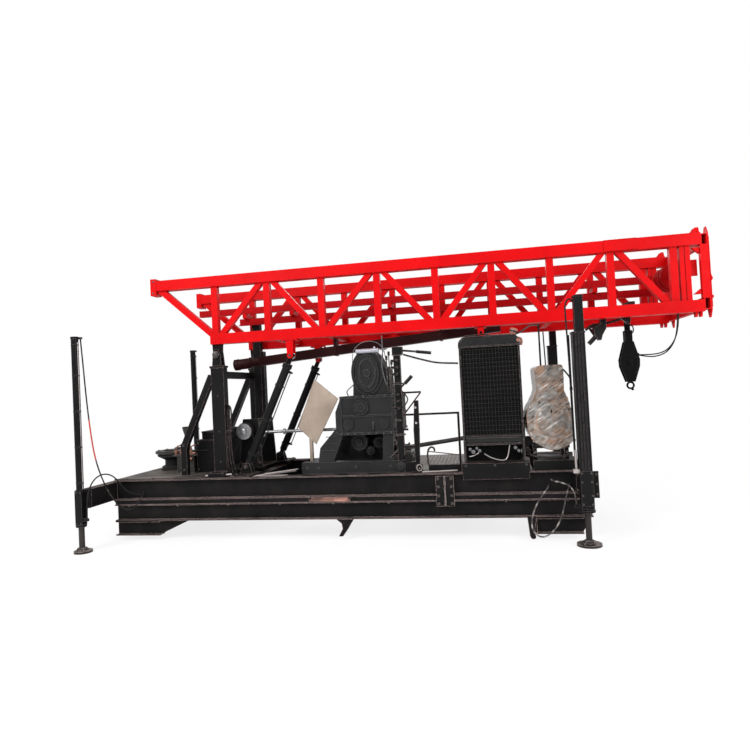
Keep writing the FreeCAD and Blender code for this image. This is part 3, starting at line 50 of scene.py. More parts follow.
cam_data = bpy.data.cameras.new("camera")
cam_data.sensor_width = 36.0
cam_data.lens = 27.84
camera = placed("camera", cam_data)
turned_left, tipped_up, rolled_by = 10.402, 1.383, -2.849
look = Matrix.Rotation(math.radians(turned_left), 4, "Z")
look = look @ Matrix.Rotation(math.radians(90.0 + tipped_up), 4, "X")
look = look @ Matrix.Rotation(math.radians(rolled_by), 4, "Z")
camera.matrix_world = Matrix.Translation((1.127, -7.506, 1.739)) @ look
bpy.context.scene.camera = camera
bpy.context.scene.view_settings.view_transform = "Standard"


def lamp(name, place, aim, size, watts):
    """Square area lamp at place, turned towards aim."""
    data = bpy.data.lights.new(name, "AREA")
    data.size = size
    data.energy = watts
    made = placed(name, data)
    made.location = place
    made.rotation_euler = (Vector(aim) - Vector(place)).to_track_quat("-Z", "Y").to_euler()


lamp("key", (-5.0, -8.0, 8.0), (0.0, 0.0, 1.4), 5.0, 1000.0)
lamp("fill", (7.0, -7.0, 5.0), (0.5, 0.0, 1.4), 5.0, 520.0)
lamp("back", (0.0, 8.0, 7.0), (0.0, 0.0, 1.6), 5.0, 420.0)


def place_on_object(tree):
    """Socket with the place of a shaded point in its object's own coordinates."""
    return tree.nodes.new("ShaderNodeTexCoord").outputs["Object"]


def parts_of(tree, vector):
    """Split a vector socket; its X, Y and Z sockets are found by name."""
    split = tree.nodes.new("ShaderNodeSeparateXYZ")
    tree.links.new(vector, split.inputs[0])
    return split.outputs


def worked(tree, operation, first, second):
    """Math node on two value sockets; gives its result socket."""
    node = tree.nodes.new("ShaderNodeMath")
    node.operation = operation
    tree.links.new(first, node.inputs[0])
    tree.links.new(second, node.inputs[1])
    return node.outputs[0]


def spread(tree, value, low, high, start, end):
    """Carry a value from the range low..high to start..end, held at the ends."""
    ramp = tree.nodes.new("ShaderNodeMapRange")
    ramp.inputs["From Min"].default_value = low
    ramp.inputs["From Max"].default_value = high
    ramp.inputs["To Min"].default_value = start
    ramp.inputs["To Max"].default_value = end
    tree.links.new(value, ramp.inputs["Value"])
    return ramp.outputs["Result"]


world = bpy.data.worlds.new("studio")
world.use_nodes = True
bpy.context.scene.world = world
sky = world.node_tree
sky.nodes.clear()
plain = sky.nodes.new("ShaderNodeBackground")
plain.inputs["Strength"].default_value = 0.62
white = sky.nodes.new("ShaderNodeBackground")
white.inputs["Strength"].default_value = 1.0
for backdrop in (plain, white):
    backdrop.inputs["Color"].default_value = (1.0, 1.0, 1.0, 1.0)
rays = sky.nodes.new("ShaderNodeLightPath")
seen = worked(sky, "MAXIMUM", rays.outputs["Is Camera Ray"], rays.outputs["Is Transmission Ray"])
pick = sky.nodes.new("ShaderNodeMixShader")
out = sky.nodes.new("ShaderNodeOutputWorld")
sky.links.new(seen, pick.inputs[0])
sky.links.new(plain.outputs[0], pick.inputs[1])
sky.links.new(white.outputs[0], pick.inputs[2])
sky.links.new(pick.outputs[0], out.inputs["Surface"])

floor_mesh = bpy.data.meshes.new("floor")
reach = 60.0
level = -0.001
floor_mesh.from_pydata([(-reach, -reach, level), (reach, -reach, level),
                        (reach, reach, level), (-reach, reach, level)], [], [(0, 1, 2, 3)])
floor = placed("floor", floor_mesh)
pale = bpy.data.materials.new("pale_floor")
pale.use_nodes = True
tree = pale.node_tree
tree.nodes.clear()
matt = tree.nodes.new("ShaderNodeBsdfDiffuse")
matt.inputs["Color"].default_value = (0.9, 0.9, 0.9, 1.0)
glow = tree.nodes.new("ShaderNodeEmission")
glow.inputs["Color"].default_value = (1.0, 1.0, 1.0, 1.0)
rays = tree.nodes.new("ShaderNodeLightPath")
away = tree.nodes.new("ShaderNodeVectorMath")
away.operation = "LENGTH"
tree.links.new(place_on_object(tree), away.inputs[0])
fade = spread(tree, away.outputs["Value"], 3.4, 7.0, 0.8, 1.0)
share = worked(tree, "MULTIPLY", rays.outputs["Is Camera Ray"], fade)
both = tree.nodes.new("ShaderNodeMixShader")
out = tree.nodes.new("ShaderNodeOutputMaterial")
tree.links.new(share, both.inputs[0])
tree.links.new(matt.outputs[0], both.inputs[1])
tree.links.new(glow.outputs[0], both.inputs[2])
tree.links.new(both.outputs[0], out.inputs["Surface"])
floor_mesh.materials.append(pale)


# ---- hoses ----------------------------------------------------------------------------
# Rubber pressure hoses feed the jack legs and two thin lines hang from the mast head to
# the block. Each is one free length of hose between two screwed fittings.
def shader(name):
    """New material with one Principled shader; gives the material, its tree and shader."""
    made = bpy.data.materials.new(name)
    made.use_nodes = True
    tree = made.node_tree
    return made, tree, tree.nodes["Principled BSDF"]


def noise(tree, scale, detail=4.0, stretch=(1.0, 1.0, 1.0), lean=0.0):
    """Noise on object coordinates, turned about Y, then stretched; gives its value socket."""
    turn = tree.nodes.new("ShaderNodeMapping")
    turn.vector_type = "TEXTURE"
    turn.inputs["Rotation"].default_value = (0.0, lean, 0.0)
    turn.inputs["Scale"].default_value = [1.0 / share for share in stretch]
    grain = tree.nodes.new("ShaderNodeTexNoise")
    grain.inputs["Scale"].default_value = scale
    grain.inputs["Detail"].default_value = detail
    grain.inputs["Roughness"].default_value = 0.55
    tree.links.new(place_on_object(tree), turn.inputs["Vector"])
    tree.links.new(turn.outputs["Vector"], grain.inputs["Vector"])
    return grain.outputs["Fac"]


def blend_colours(tree, mask, first, second):
    """Mix two colours, each a socket or a plain colour, by a mask socket."""
    mix = tree.nodes.new("ShaderNodeMix")
    mix.data_type = "RGBA"
    tree.links.new(mask, mix.inputs["Factor"])
    for socket, colour in (("A", first), ("B", second)):
        target = [s for s in mix.inputs if s.name == socket and s.type == "RGBA"][0]
        if isinstance(colour, tuple):
            target.default_value = colour + (1.0,)
        else:
            tree.links.new(colour, target)
    return [s for s in mix.outputs if s.type == "RGBA"][0]


def bump(tree, base, height, strength, distance):
    """Raise the shading by a height socket."""
    raised = tree.nodes.new("ShaderNodeBump")
    raised.inputs["Strength"].default_value = strength
    raised.inputs["Distance"].default_value = distance
    tree.links.new(height, raised.inputs["Height"])
    tree.links.new(raised.outputs["Normal"], base.inputs["Normal"])


def paint_where(made, limits, paint):
    """Lay another colour where every limit holds: axis, value where it starts, value where full."""
    tree = made.node_tree
    base = tree.nodes["Principled BSDF"]
    place = parts_of(tree, place_on_object(tree))
    parts = [spread(tree, place[axis], start, full, 0.0, 1.0) for axis, start, full in limits]
    total = parts[0]
    for part in parts[1:]:
        total = worked(tree, "MULTIPLY", total, part)
    under = base.inputs["Base Color"].links[0].from_socket
    tree.links.new(blend_colours(tree, total, under, paint), base.inputs["Base Color"])


def hose_rubber(name, colour, marks, worn=0.55):
    """Rubber hose: fine cloth grain, and marks of a second colour for scuffs where it has rubbed and dust; on
    the pale hoses the marks are also painted highlights.
    """
    made, tree, base = shader(name)
    scuff_and_highlight = spread(tree, noise(tree, 14.0, 6.0), worn, worn + 0.15, 0.0, 1.0)
    tree.links.new(blend_colours(tree, scuff_and_highlight, colour, marks), base.inputs["Base Color"])
    tree.links.new(spread(tree, noise(tree, 30.0), 0.3, 0.7, 0.35, 0.6), base.inputs["Roughness"])
    base.inputs["Specular IOR Level"].default_value = 0.2
    bump(tree, base, noise(tree, 900.0, 2.0), 0.25, 0.0006)
    return made


black_rubber = hose_rubber("hose_black", (0.006, 0.006, 0.007), (0.06, 0.05, 0.045))
sleeved_rubber = hose_rubber("hose_sleeved", (0.007, 0.006, 0.006), (0.1, 0.08, 0.07))
paint_where(sleeved_rubber, (("Z", 1.05, 1.08), ("Z", 1.56, 1.53)), (0.42, 0.03, 0.022))
# Pale hoses: their light base and pale marks are partly dust and partly painted highlight.
dusty_highlit_rubber = hose_rubber("hose_dust_and_highlight", (0.045, 0.04, 0.039), (0.36, 0.32, 0.31), 0.48)


def free_hose(name, points, radius, body, rubber=black_rubber):
    """Round hose on a smooth spline whose control points are given in millimetres."""
    curve = bpy.data.curves.new(name, "CURVE")
    curve.dimensions = "3D"
    curve.resolution_u = 12
    curve.bevel_depth = radius
    curve.bevel_resolution = 6
    curve.use_fill_caps = True
    line = curve.splines.new("NURBS")
    line.points.add(len(points) - 1)
    for knot, (x, y, z) in zip(line.points, points):
        knot.co = (x / 1000.0, y / 1000.0, z / 1000.0, 1.0)
    line.order_u = 3
    line.use_endpoint_u = True
    hose = placed(name, curve)
    curve.materials.append(rubber)
    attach(hose, body)
    return hose


web = -842.5
leg_down = [(-3511, -1400, 2499.3), (-3497, -1402, 2330), (-3484, -1398, 2100),
            (-3470, -1396, 1870), (-3455, -1391, 1640), (-3436, -1384, 1410),
            (-3418, -1370, 1190), (-3396, -1335, 985), (-3378, -1262, 790),
            (-3362, -1160, 610), (-3325, -1055, 460), (-3230, -985, 385),
            (-3120, -960, 470), (-3112, web - 6.3, 600)]
leg_over = [(-3481, -1438, 398.6), (-3478, -1438, 540), (-3478, -1410, 710),
            (-3470, -1310, 835), (-3446, -1170, 880), (-3412, -1030, 835),
            (-3360, -945, 700), (-3280, -915, 590), (-3170, web - 7.0, 560)]
end_lead = [(1816, web - 1.2, 650), (1822, -985, 652), (1880, -1072, 655),
            (1985, -1090, 620), (2034, -1096, 520), (2038, -1096, 422.7)]
end_loop = [(1790, web - 2.0, 590), (1775, -955, 585), (1712, -1012, 520),
            (1628, -1016, 400), (1572, -1012, 250), (1580, -1006, 110),
            (1680, -1002, 40), (1800, -1002, 110), (1880, -1004, 240),
            (1925, -1004, 390), (1958, -996, 520), (1996, -930, 592), (2012, web - 3.2, 600)]
long_hose = free_hose("hose_leg_long", leg_down, 0.008, "base", sleeved_rubber)
over_hose = free_hose("hose_leg_over", leg_over, 0.008, "base")
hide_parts("leg_hoses")
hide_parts("leg_hoses")
# The two end hoses carry painted highlight in their pale colour.
lead_hose = free_hose("hose_end_lead", end_lead, 0.008, "base", dusty_highlit_rubber)
loop_hose = free_hose("hose_end_loop", end_loop, 0.008, "base", dusty_highlit_rubber)
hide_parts("end_hoses")
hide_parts("end_hoses")
for number, (shift, drop, size) in enumerate(((-16.0, 0.0, 0.757), (16.0, -26.0, 0.786))):
    mast_line = [(3292, -616 + shift, 2401.8), (3288, -600 + shift, 2270 + drop / 2.0),
                 (3262, -562 + shift, 2130 + drop), (3208, -500 + shift, 2030 + drop),
                 (3140, -425 + shift, 1985 + drop), (3040, -345 + shift, 1977 + drop),
                 (2935.5, -300 + shift, 1985)]
    thin = free_hose("hose_mast_%d" % (number + 1), mast_line, 0.007, "mast")
    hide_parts("mast_hoses")


# ---- skid ------------------------------------------------------------------------------
# Two tiers of rolled beams, welded and bolted, under satin black enamel that is rubbed
# to the primer along its edges and dusty on its flat tops.
def wear_group():
    """Mask of rubbed edges: one less the dot product of a rounded and the true normal."""
    group = bpy.data.node_groups.new("worn_edges", "ShaderNodeTree")
    for name, start in (("Width", 0.006), ("Amount", 0.6), ("Grain", 40.0)):
        group.interface.new_socket(name, in_out="INPUT", socket_type="NodeSocketFloat").default_value = start
    group.interface.new_socket("Mask", in_out="OUTPUT", socket_type="NodeSocketFloat")
    given = group.nodes.new("NodeGroupInput")
    result = group.nodes.new("NodeGroupOutput")
    rounded = group.nodes.new("ShaderNodeBevel")
    rounded.samples = 4
    group.links.new(given.outputs["Width"], rounded.inputs["Radius"])
    surface = group.nodes.new("ShaderNodeNewGeometry")
    dot = group.nodes.new("ShaderNodeVectorMath")
    dot.operation = "DOT_PRODUCT"
    group.links.new(rounded.outputs["Normal"], dot.inputs[0])
    group.links.new(surface.outputs["Normal"], dot.inputs[1])
    edge = spread(group, dot.outputs["Value"], 1.0, 0.72, 0.0, 1.0)
    grain = group.nodes.new("ShaderNodeTexNoise")
    grain.inputs["Detail"].default_value = 6.0
    grain.inputs["Roughness"].default_value = 0.7
    group.links.new(given.outputs["Grain"], grain.inputs["Scale"])
    group.links.new(place_on_object(group), grain.inputs["Vector"])
    broken = spread(group, grain.outputs["Fac"], 0.35, 0.65, -0.45, 0.45)
    cut = spread(group, worked(group, "ADD", edge, broken), 0.5, 0.8, 0.0, 1.0)
    share = worked(group, "MULTIPLY", cut, given.outputs["Amount"])
    group.links.new(share, result.inputs["Mask"])
    return group


def dust_group():
    """Mask of settled dust: upward part of the normal times cloudy noise, and thin films."""
    group = bpy.data.node_groups.new("settled_dust", "ShaderNodeTree")
    group.interface.new_socket("Amount", in_out="INPUT", socket_type="NodeSocketFloat").default_value = 0.5
    group.interface.new_socket("Mask", in_out="OUTPUT", socket_type="NodeSocketFloat")
    given = group.nodes.new("NodeGroupInput")
    result = group.nodes.new("NodeGroupOutput")
    surface = group.nodes.new("ShaderNodeNewGeometry")
    upward = spread(group, parts_of(group, surface.outputs["Normal"])["Z"], 0.0, 0.9, 0.06, 1.0)
    cloud = spread(group, noise(group, 3.5, 8.0), 0.4, 0.68, 0.0, 1.0)
    settled = worked(group, "MULTIPLY", upward, cloud)
    share = worked(group, "MULTIPLY", settled, given.outputs["Amount"])
    group.links.new(share, result.inputs["Mask"])
    return group


worn_edges = wear_group()
settled_dust = dust_group()


def coated_metal(name, coat_colour, bare, dust, rough=0.45, gloss=0.0, wear=0.7, width=0.006,
                 dusting=0.5, dimple=0.2, dimple_scale=180.0, metal=0.0, grain=40.0, mirror=0.3, depth=0.28):
    """Painted or raw metal: colour drift, rubbed edges, settled dust and a faint surface."""
    made, tree, base = shader(name)
    drift = spread(tree, noise(tree, 2.2, 6.0), 0.3, 0.7, 0.0, 1.0)
    speckle = spread(tree, noise(tree, 420.0, 2.0), 0.3, 0.7, 0.0, 1.0)
    light = tuple(min(1.0, c * (1.0 + depth) + 0.001) for c in coat_colour)
    dark = tuple(c * (1.0 - depth) for c in coat_colour)
    colour = blend_colours(tree, drift, dark, light)
    colour = blend_colours(tree, speckle, colour, tuple(min(1.0, c * 1.25 + 0.003) for c in coat_colour))
    edges = tree.nodes.new("ShaderNodeGroup")
    edges.node_tree = worn_edges
    edges.inputs["Width"].default_value = width
    edges.inputs["Amount"].default_value = wear
    edges.inputs["Grain"].default_value = grain
    colour = blend_colours(tree, edges.outputs["Mask"], colour, bare)
    settled = tree.nodes.new("ShaderNodeGroup")
    settled.node_tree = settled_dust
    settled.inputs["Amount"].default_value = dusting
    colour = blend_colours(tree, settled.outputs["Mask"], colour, dust)
    tree.links.new(colour, base.inputs["Base Color"])
    tree.links.new(spread(tree, noise(tree, 9.0, 5.0), 0.3, 0.7, rough - 0.08, rough + 0.12),
                   base.inputs["Roughness"])
    base.inputs["Metallic"].default_value = metal
    base.inputs["Coat Weight"].default_value = gloss
    base.inputs["Coat Roughness"].default_value = 0.18
    base.inputs["Specular IOR Level"].default_value = mirror
    bump(tree, base, noise(tree, dimple_scale, 3.0), dimple, 0.002)
    return made


def dress(material, *names):
    """Give CAD nodes a material in every slot."""
    for name in names:
        mesh = nodes[name].data
        mesh.materials.clear()
        mesh.materials.append(material)


primer = (0.42, 0.3, 0.28)
dry_dust = (0.2, 0.15, 0.13)
black_enamel = coated_metal("black_enamel", (0.0036, 0.0036, 0.004), primer, dry_dust,
                            wear=0.75, dusting=0.2, mirror=0.07)
skid_enamel = coated_metal("skid_enamel", (0.0038, 0.0036, 0.0038), (0.5, 0.38, 0.36), (0.34, 0.25, 0.23),
                           wear=0.9, width=0.01, dusting=0.3, mirror=0.07)
dress(skid_enamel, "skid_frame")
dress(black_enamel, "mast_posts", "luff_feet", "engine_rails")


up, down = (0, 0, 1), (0, 0, -1)
near, far = (0, -1, 0), (0, 1, 0)
left, right = (-1, 0, 0), (1, 0, 0)


def turned(profile, place, along, sides=20, start=0.0):
    """Ring of radius r at each height h of the profile, about a line; ends are closed."""
    profile = np.array(profile, float)
    axis = np.array(along, float) / np.linalg.norm(along)
    side = np.cross(axis, (0.0, 0.0, 1.0) if abs(axis[2]) < 0.9 else (1.0, 0.0, 0.0))
    side /= np.linalg.norm(side)
    other = np.cross(axis, side)
    angle = start + np.arange(sides) * 2.0 * math.pi / sides
    ring = np.cos(angle)[:, None] * side + np.sin(angle)[:, None] * other
    points = (np.array(place) + profile[:, None, 1:2] * axis + profile[:, None, 0:1] * ring)
    return woven(points, closed=True, capped=True)


def woven(points, closed=False, capped=False):
    """Quads over a grid of points; closed joins the last column to the first."""
    rows, columns = points.shape[:2]
    number = np.arange(rows * columns).reshape(rows, columns)
    if closed:
        number = np.hstack([number, number[:, :1]])
    quads = np.stack([number[:-1, :-1], number[:-1, 1:], number[1:, 1:], number[1:, :-1]], -1)
    faces = quads.reshape(-1, 4).tolist()
    if capped:
        faces.append(list(range(columns))[::-1])
        faces.append(list(range((rows - 1) * columns, rows * columns)))
    return points.reshape(-1, 3), faces


def piece(name, shapes, material, body, smooth=35.0):
    """Join shapes, each points and faces, into one object that rides on a body."""
    places, faces, count = [], [], 0
    for points, some in shapes:
        places.append(points)
        faces += [[i + count for i in face] for face in some]
        count += len(points)
    mesh = bpy.data.meshes.new(name)
    mesh.from_pydata(np.vstack(places).tolist(), [], faces)
    mesh.validate()
    mesh.materials.append(material)
    made = placed(name, mesh)
    mesh.shade_smooth()
    mesh.set_sharp_from_angle(angle=math.radians(smooth))
    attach(made, body)
    return made


def bolt(place, along, size):
    """Hexagon head on a washer; size is the thread diameter in metres."""
    axis = np.array(along, float)
    washer = turned([(size * 0.6, 0.0), (size * 1.05, 0.0), (size * 1.05, size * 0.16),
                     (size * 0.6, size * 0.18)], place, along, 18)
    top = np.array(place) + axis * size * 0.14
    head = turned([(size * 0.88, 0.0), (size * 0.88, size * 0.52), (size * 0.76, size * 0.66),
                   (size * 0.3, size * 0.66)], top, along, 6, start=place[0] * 7.0)
    return [washer, head]


def bolts(x_places, y_places, z_places, along, size):
    """A bolt at every crossing of the given places; each is one number or several."""
    heads = []
    for x in np.atleast_1d(x_places):
        for y in np.atleast_1d(y_places):
            for z in np.atleast_1d(z_places):
                heads += bolt((x, y, z), along, size)
    return heads


def bolt_circle(place, radius, count, along, size, start=0.0):
    """Bolts evenly round a circle whose axis is upright or runs from near to far."""
    second = 1 if along[2] else 2
    heads = []
    for angle in start + np.arange(count) * 2.0 * math.pi / count:
        spot = np.array(place, float)
        spot[0] += radius * math.cos(angle)
        spot[second] += radius * math.sin(angle)
        heads += bolt(spot, along, size)
    return heads


def boss(radii, heights, place, along, sides):
    """Turned boss: radii of foot, body and tip, and heights where the body starts and ends and of the tip."""
    foot, body, tip = radii
    start, end, height = heights
    return turned([(foot, 0.0), (body, start), (body, end), (tip, height)], place, along, sides)


def collar(inner, outer, width, ease, place, along, sides):
    """Ring from radius inner to outer, as long as width, with both rims eased."""
    return boss((inner, outer, inner), (ease, width - ease, width), place, along, sides)


def eased(points, steps):
    """Smooth line through points: each span is a cubic whose ends lean along the neighbours."""
    points = np.array(points, float)
    lean = np.gradient(points, axis=0)
    t = np.linspace(0.0, 1.0, steps + 1)[:-1, None]
    spans = [(2 * t**3 - 3 * t**2 + 1) * p + (t**3 - 2 * t**2 + t) * a + (3 * t**2 - 2 * t**3) * q
             + (t**3 - t**2) * b
             for p, q, a, b in zip(points[:-1], points[1:], lean[:-1], lean[1:])]
    return np.vstack(spans + [points[-1:]])


def bar(points, radius, sides=10, steps=0, ripple=0.0):
    """Round bar along points, eased when steps is given; a ripple swells its radius in waves."""
    line = eased(points, steps) if steps else np.array(points, float)
    ahead = np.gradient(line, axis=0)
    ahead /= np.linalg.norm(ahead, axis=1)[:, None]
    away = np.array((0.0, 0.0, 1.0)) if abs(ahead[:, 2]).max() < 0.95 else np.array((0.31, 0.9, 0.31))
    side = np.cross(ahead, away)
    side /= np.linalg.norm(side, axis=1)[:, None]
    over = np.cross(side, ahead)
    angle = np.arange(sides) * 2.0 * math.pi / sides
    swell = radius * (1.0 + ripple * np.sin(np.arange(len(line)) * 2.1))[:, None, None]
    ring = np.cos(angle)[None, :, None] * side[:, None] + np.sin(angle)[None, :, None] * over[:, None]
    return woven(line[:, None] + swell * ring, closed=True, capped=True)


def bead(start, end, size):
    """Weld bead: a bar of short ripples from start to end."""
    start, end = np.array(start, float), np.array(end, float)
    count = max(4, int(np.linalg.norm(end - start) / 0.012))
    t = np.linspace(0.0, 1.0, count)[:, None]
    return bar(start + (end - start) * t, size, 6, ripple=0.2)


def seam(x0, x1, y, z, size):
    """Weld bead that runs level from left to right."""
    return bead((x0, y, z), (x1, y, z), size)


def plate(outline, push):
    """Sheet or block: a flat outline of points carried along the vector push, both ends closed."""
    first = np.array(outline, float)
    second = first + np.array(push, float)
    count = len(first)
    faces = [[i, (i + 1) % count, (i + 1) % count + count, i + count] for i in range(count)]
    faces += [list(range(count))[::-1], list(range(count, 2 * count))]
    normal = sum(np.cross(first[i], first[(i + 1) % count]) for i in range(count))
    if np.dot(normal, push) < 0:
        faces = [face[::-1] for face in faces]
    return np.vstack([first, second]), faces


def at_depth(y, *places):
    """Points of one depth y, each given by its x and z."""
    return [(x, y, z) for x, z in places]


def block(x0, x1, y0, y1, z0, z1, cut=0.004):
    """Machined block whose four long edges along y are cut at 45 degrees."""
    ring = at_depth(y0, (x0 + cut, z0), (x1 - cut, z0), (x1, z0 + cut), (x1, z1 - cut), (x1 - cut, z1),
                    (x0 + cut, z1), (x0, z1 - cut), (x0, z0 + cut))
    return plate(ring, (0.0, y1 - y0, 0.0))


def twins(shapes):
    """The shapes and their mirror images across the middle plane, faces turned outwards again."""
    mirrored = [(points * (1.0, -1.0, 1.0), [face[::-1] for face in faces]) for points, faces in shapes]
    return shapes + mirrored


raw_bolts = coated_metal("bolt_steel", (0.05, 0.045, 0.042), (0.4, 0.37, 0.34), dry_dust, rough=0.42,
                         wear=0.8, width=0.002, dusting=0.3, metal=0.6)
front = -0.916
joined = bolts((0.578, 0.726), front, (0.41, 0.5, 0.6, 0.69), near, 0.016)
joined += bolts(2.286, -0.912, (0.49, 0.6, 0.705), near, 0.013)
joined += bolts(np.arange(-3.3, 2.0, 0.66), -0.885, 0.426, down, 0.014)
piece("skid_bolts", twins(joined), raw_bolts, "base")

seams = [seam(-3.47, 2.16, -0.8435, z, 0.005) for z in (0.733, 0.511, 0.428, 0.251)]
seams.insert(0, block(0.644, 0.66, front - 0.01, front, 0.384, 0.716, 0.003))
nose = at_depth(-0.905, (1.536, 0.262), (1.547, 0.15), (1.556, 0.04), (1.572, 0.01), (1.603, 0.006),
                (1.622, 0.022), (1.612, 0.11), (1.64, 0.262))
piece("nose_plates", twins([plate(nose, (0.0, 0.018, 0.0))]), skid_enamel, "base")
# Seam beads: pale rubbed primer and dust, and partly painted highlight where the flange edges catch the
# light.
rubbed_highlit_seam = coated_metal("rubbed_highlit_seam", (0.02, 0.016, 0.016), (0.62, 0.5, 0.48), (0.34, 0.25, 0.23),
                           rough=0.5, wear=1.0, width=0.012, dusting=0.6, mirror=0.1)
piece("skid_seams", twins(seams), rubbed_highlit_seam, "base")


def board(x0, x1, y0, y1, z0, z1):
    """Sawn board: a box of 14 rings along x with slightly uneven edges."""
    t = np.linspace(0.0, 1.0, 14)[:, None]
    around = np.array([(0, 0), (1, 0), (1, 1), (0, 1)], float)[None]
    uneven = 0.0025 * np.sin(t * 19.0 + np.arange(4)[None] * 1.7 + x0 * 5.0)
    x = x0 + (x1 - x0) * t + np.zeros((1, 4))
    y = y0 + (y1 - y0) * around[..., 0] + uneven
    z = z0 + (z1 - z0) * around[..., 1] + uneven[:, ::-1]
    return woven(np.stack([x, y, z], -1), closed=True, capped=True)


def sawn_wood(name, pale_wood, dark_wood):
    """Rough softwood with long grain along x and dirt."""
    made, tree, base = shader(name)
    grain = noise(tree, 26.0, 6.0, (0.12, 1.0, 1.0))
    stain = spread(tree, noise(tree, 5.0, 5.0), 0.42, 0.62, 0.0, 0.8)
    wood = blend_colours(tree, spread(tree, grain, 0.35, 0.65, 0.0, 1.0), pale_wood, dark_wood)
    tree.links.new(blend_colours(tree, stain, wood, (0.05, 0.035, 0.03)), base.inputs["Base Color"])
    base.inputs["Roughness"].default_value = 0.85
    bump(tree, base, grain, 0.5, 0.003)
    return made


red_wood = sawn_wood("packing_wood", (0.52, 0.26, 0.2), (0.2, 0.08, 0.06))
timber = [board(-0.945, -0.462, -0.892, -0.79, 0.447, 0.472), board(-0.93, -0.48, -0.886, -0.8, 0.474, 0.498)]
piece("skid_timber", twins(timber), red_wood, "base")


# ---- deck plates -----------------------------------------------------------------------
# Loose tread plates lie on the left end of the skid, bare and grey where boots rub them.
# Rods, short tubes and one flat bar of pale steel lie loose on the deck.
deck_steel = coated_metal("deck_steel", (0.036, 0.033, 0.032), (0.4, 0.36, 0.33), (0.2, 0.17, 0.15),
                          rough=0.5, wear=0.8, dusting=0.85, metal=0.35)
dress(deck_steel, "deck_plates")


def lozenge(x, y, z, pitch, reach, width):
    """Raised mark of a tread plate, which leans to one side and the other by turns."""
    lean = 1.0 if (round(x / pitch) + round(y / pitch)) % 2 else -1.0
    return plate([(x - reach, y - lean * width, z), (x - width, y - lean * reach, z),
                  (x + reach, y + lean * width, z), (x + width, y + lean * reach, z)], (0.0, 0.0, 0.0018))


table_x = -3.165
treads = []
for x in np.arange(-3.44, -2.74, 0.062):
    for y in np.arange(-0.78, 0.8, 0.062):
        if math.hypot(x - table_x, y) > 0.2:
            treads.append(lozenge(x, y, 0.76, 0.062, 0.014, 0.01))
piece("tread_lozenges", treads, deck_steel, "base")
pale_steel = coated_metal("pale_steel", (0.34, 0.31, 0.3), (0.6, 0.56, 0.54), (0.24, 0.18, 0.16), rough=0.4,
                          wear=0.5, dusting=0.5, metal=0.6)
flat_bar = [(-1.66, -0.84, 0.7505), (-1.3, -0.84, 0.7505), (-1.24, -0.78, 0.7505), (-1.62, -0.77, 0.7505)]
loose = [bar([(-2.3, -0.8, 0.768), (-1.98, -0.74, 0.772)], 0.012),
         bar([(-1.62, -0.86, 0.762), (-1.2, -0.58, 0.776)], 0.01),
         bar([(-1.52, -0.82, 0.778), (-1.16, -0.62, 0.8)], 0.008),
         plate(flat_bar, (0.0, 0.0, 0.009)),
         bar([(0.4, -0.86, 0.762), (0.8, -0.8, 0.764)], 0.011)]
piece("loose_bars", loose, pale_steel, "base")


# ---- jack legs -------------------------------------------------------------------------
# The left legs are round hydraulic barrels in a square shoe, the right ones square tubes
# with a thinner tube on top. Barrels are enamelled, rods ground, pads scraped by the ground.
leg_enamel = coated_metal("leg_enamel", (0.0028, 0.0028, 0.0034), (0.22, 0.18, 0.175), dry_dust, rough=0.38,
                          gloss=0.03, wear=0.7, dusting=0.1, mirror=0.09)
ground_rod = coated_metal("ground_rod", (0.016, 0.013, 0.013), (0.5, 0.43, 0.41), (0.36, 0.29, 0.27),
                          rough=0.4, wear=0.9, width=0.008, dusting=0.9, dimple=0.08, mirror=0.2)
dress(leg_enamel, "leg_tubes_left", "leg_tubes_right")
dress(ground_rod, "leg_left_near", "leg_left_far", "leg_right_near", "leg_right_far")
left_x, left_y = -3.571, -1.423
right_x, right_y = 2.138, -1.138
trim = [collar(0.0415, 0.052, 0.03, 0.004, (left_x, left_y, 0.705), up, 28)]
fastened = bolt_circle((left_x, left_y, 0.301), 0.049, 6, down, 0.008)
lines = [bar([(left_x + 0.046, left_y - 0.012, 0.74), (left_x + 0.046, left_y - 0.012, 2.46)], 0.004, 8)]
for z in (0.8, 1.22, 1.64, 2.06, 2.42):
    trim.append(collar(0.0415, 0.0428, 0.018, 0.002, (left_x, left_y, z), up, 28))
    trim.append(block(left_x + 0.036, left_x + 0.054, left_y - 0.022, left_y - 0.002,
                      z + 0.001, z + 0.017, 0.002))
fastened += bolts((left_x - 0.03, left_x + 0.03), left_y - 0.045, (0.34, 0.7), near, 0.009)
fastened += bolts((right_x - 0.048, right_x + 0.048), right_y - 0.073, (0.44, 0.53, 0.67, 0.76), near, 0.01)
trim.append(seam(-3.61, -3.49, left_y + 0.0825, 0.727, 0.005))
for x in (right_x - 0.03, right_x, right_x + 0.03):
    trim.append(block(x - 0.006, x + 0.006, right_y - 0.0665, right_y - 0.062, 0.79, 2.226, 0.002))
trim += [block(right_x - 0.07, right_x + 0.07, right_y - 0.07, right_y + 0.07, 2.218, 2.234, 0.003),
         block(right_x - 0.036, right_x + 0.07, right_y - 0.054, right_y + 0.054, 2.598, 2.616, 0.003)]
lines += [bar([(right_x - 0.09, right_y - 0.02, 0.8), (right_x - 0.092, right_y - 0.02, 1.0)], 0.013, 10),
          block(right_x - 0.125, right_x - 0.055, right_y - 0.045, right_y + 0.005, 0.76, 0.8, 0.004),
          bar([(right_x + 0.035, right_y - 0.052, 0.8), (right_x + 0.035, right_y - 0.052, 2.2)], 0.004, 8)]
top_loop = at_depth(right_y, (right_x - 0.03, 2.56), (right_x - 0.07, 2.585), (right_x - 0.105, 2.53),
                    (right_x - 0.11, 2.4), (right_x - 0.1, 1.9), (right_x - 0.098, 1.1))
top_loop.append((right_x - 0.09, right_y - 0.02, 0.99))
trim.append(bar(top_loop, 0.009, 10, 8))
piece("leg_trim", twins(trim), leg_enamel, "base")
piece("leg_bolts", twins(fastened), raw_bolts, "base")
piece("leg_lines", twins(lines), pale_steel, "base")
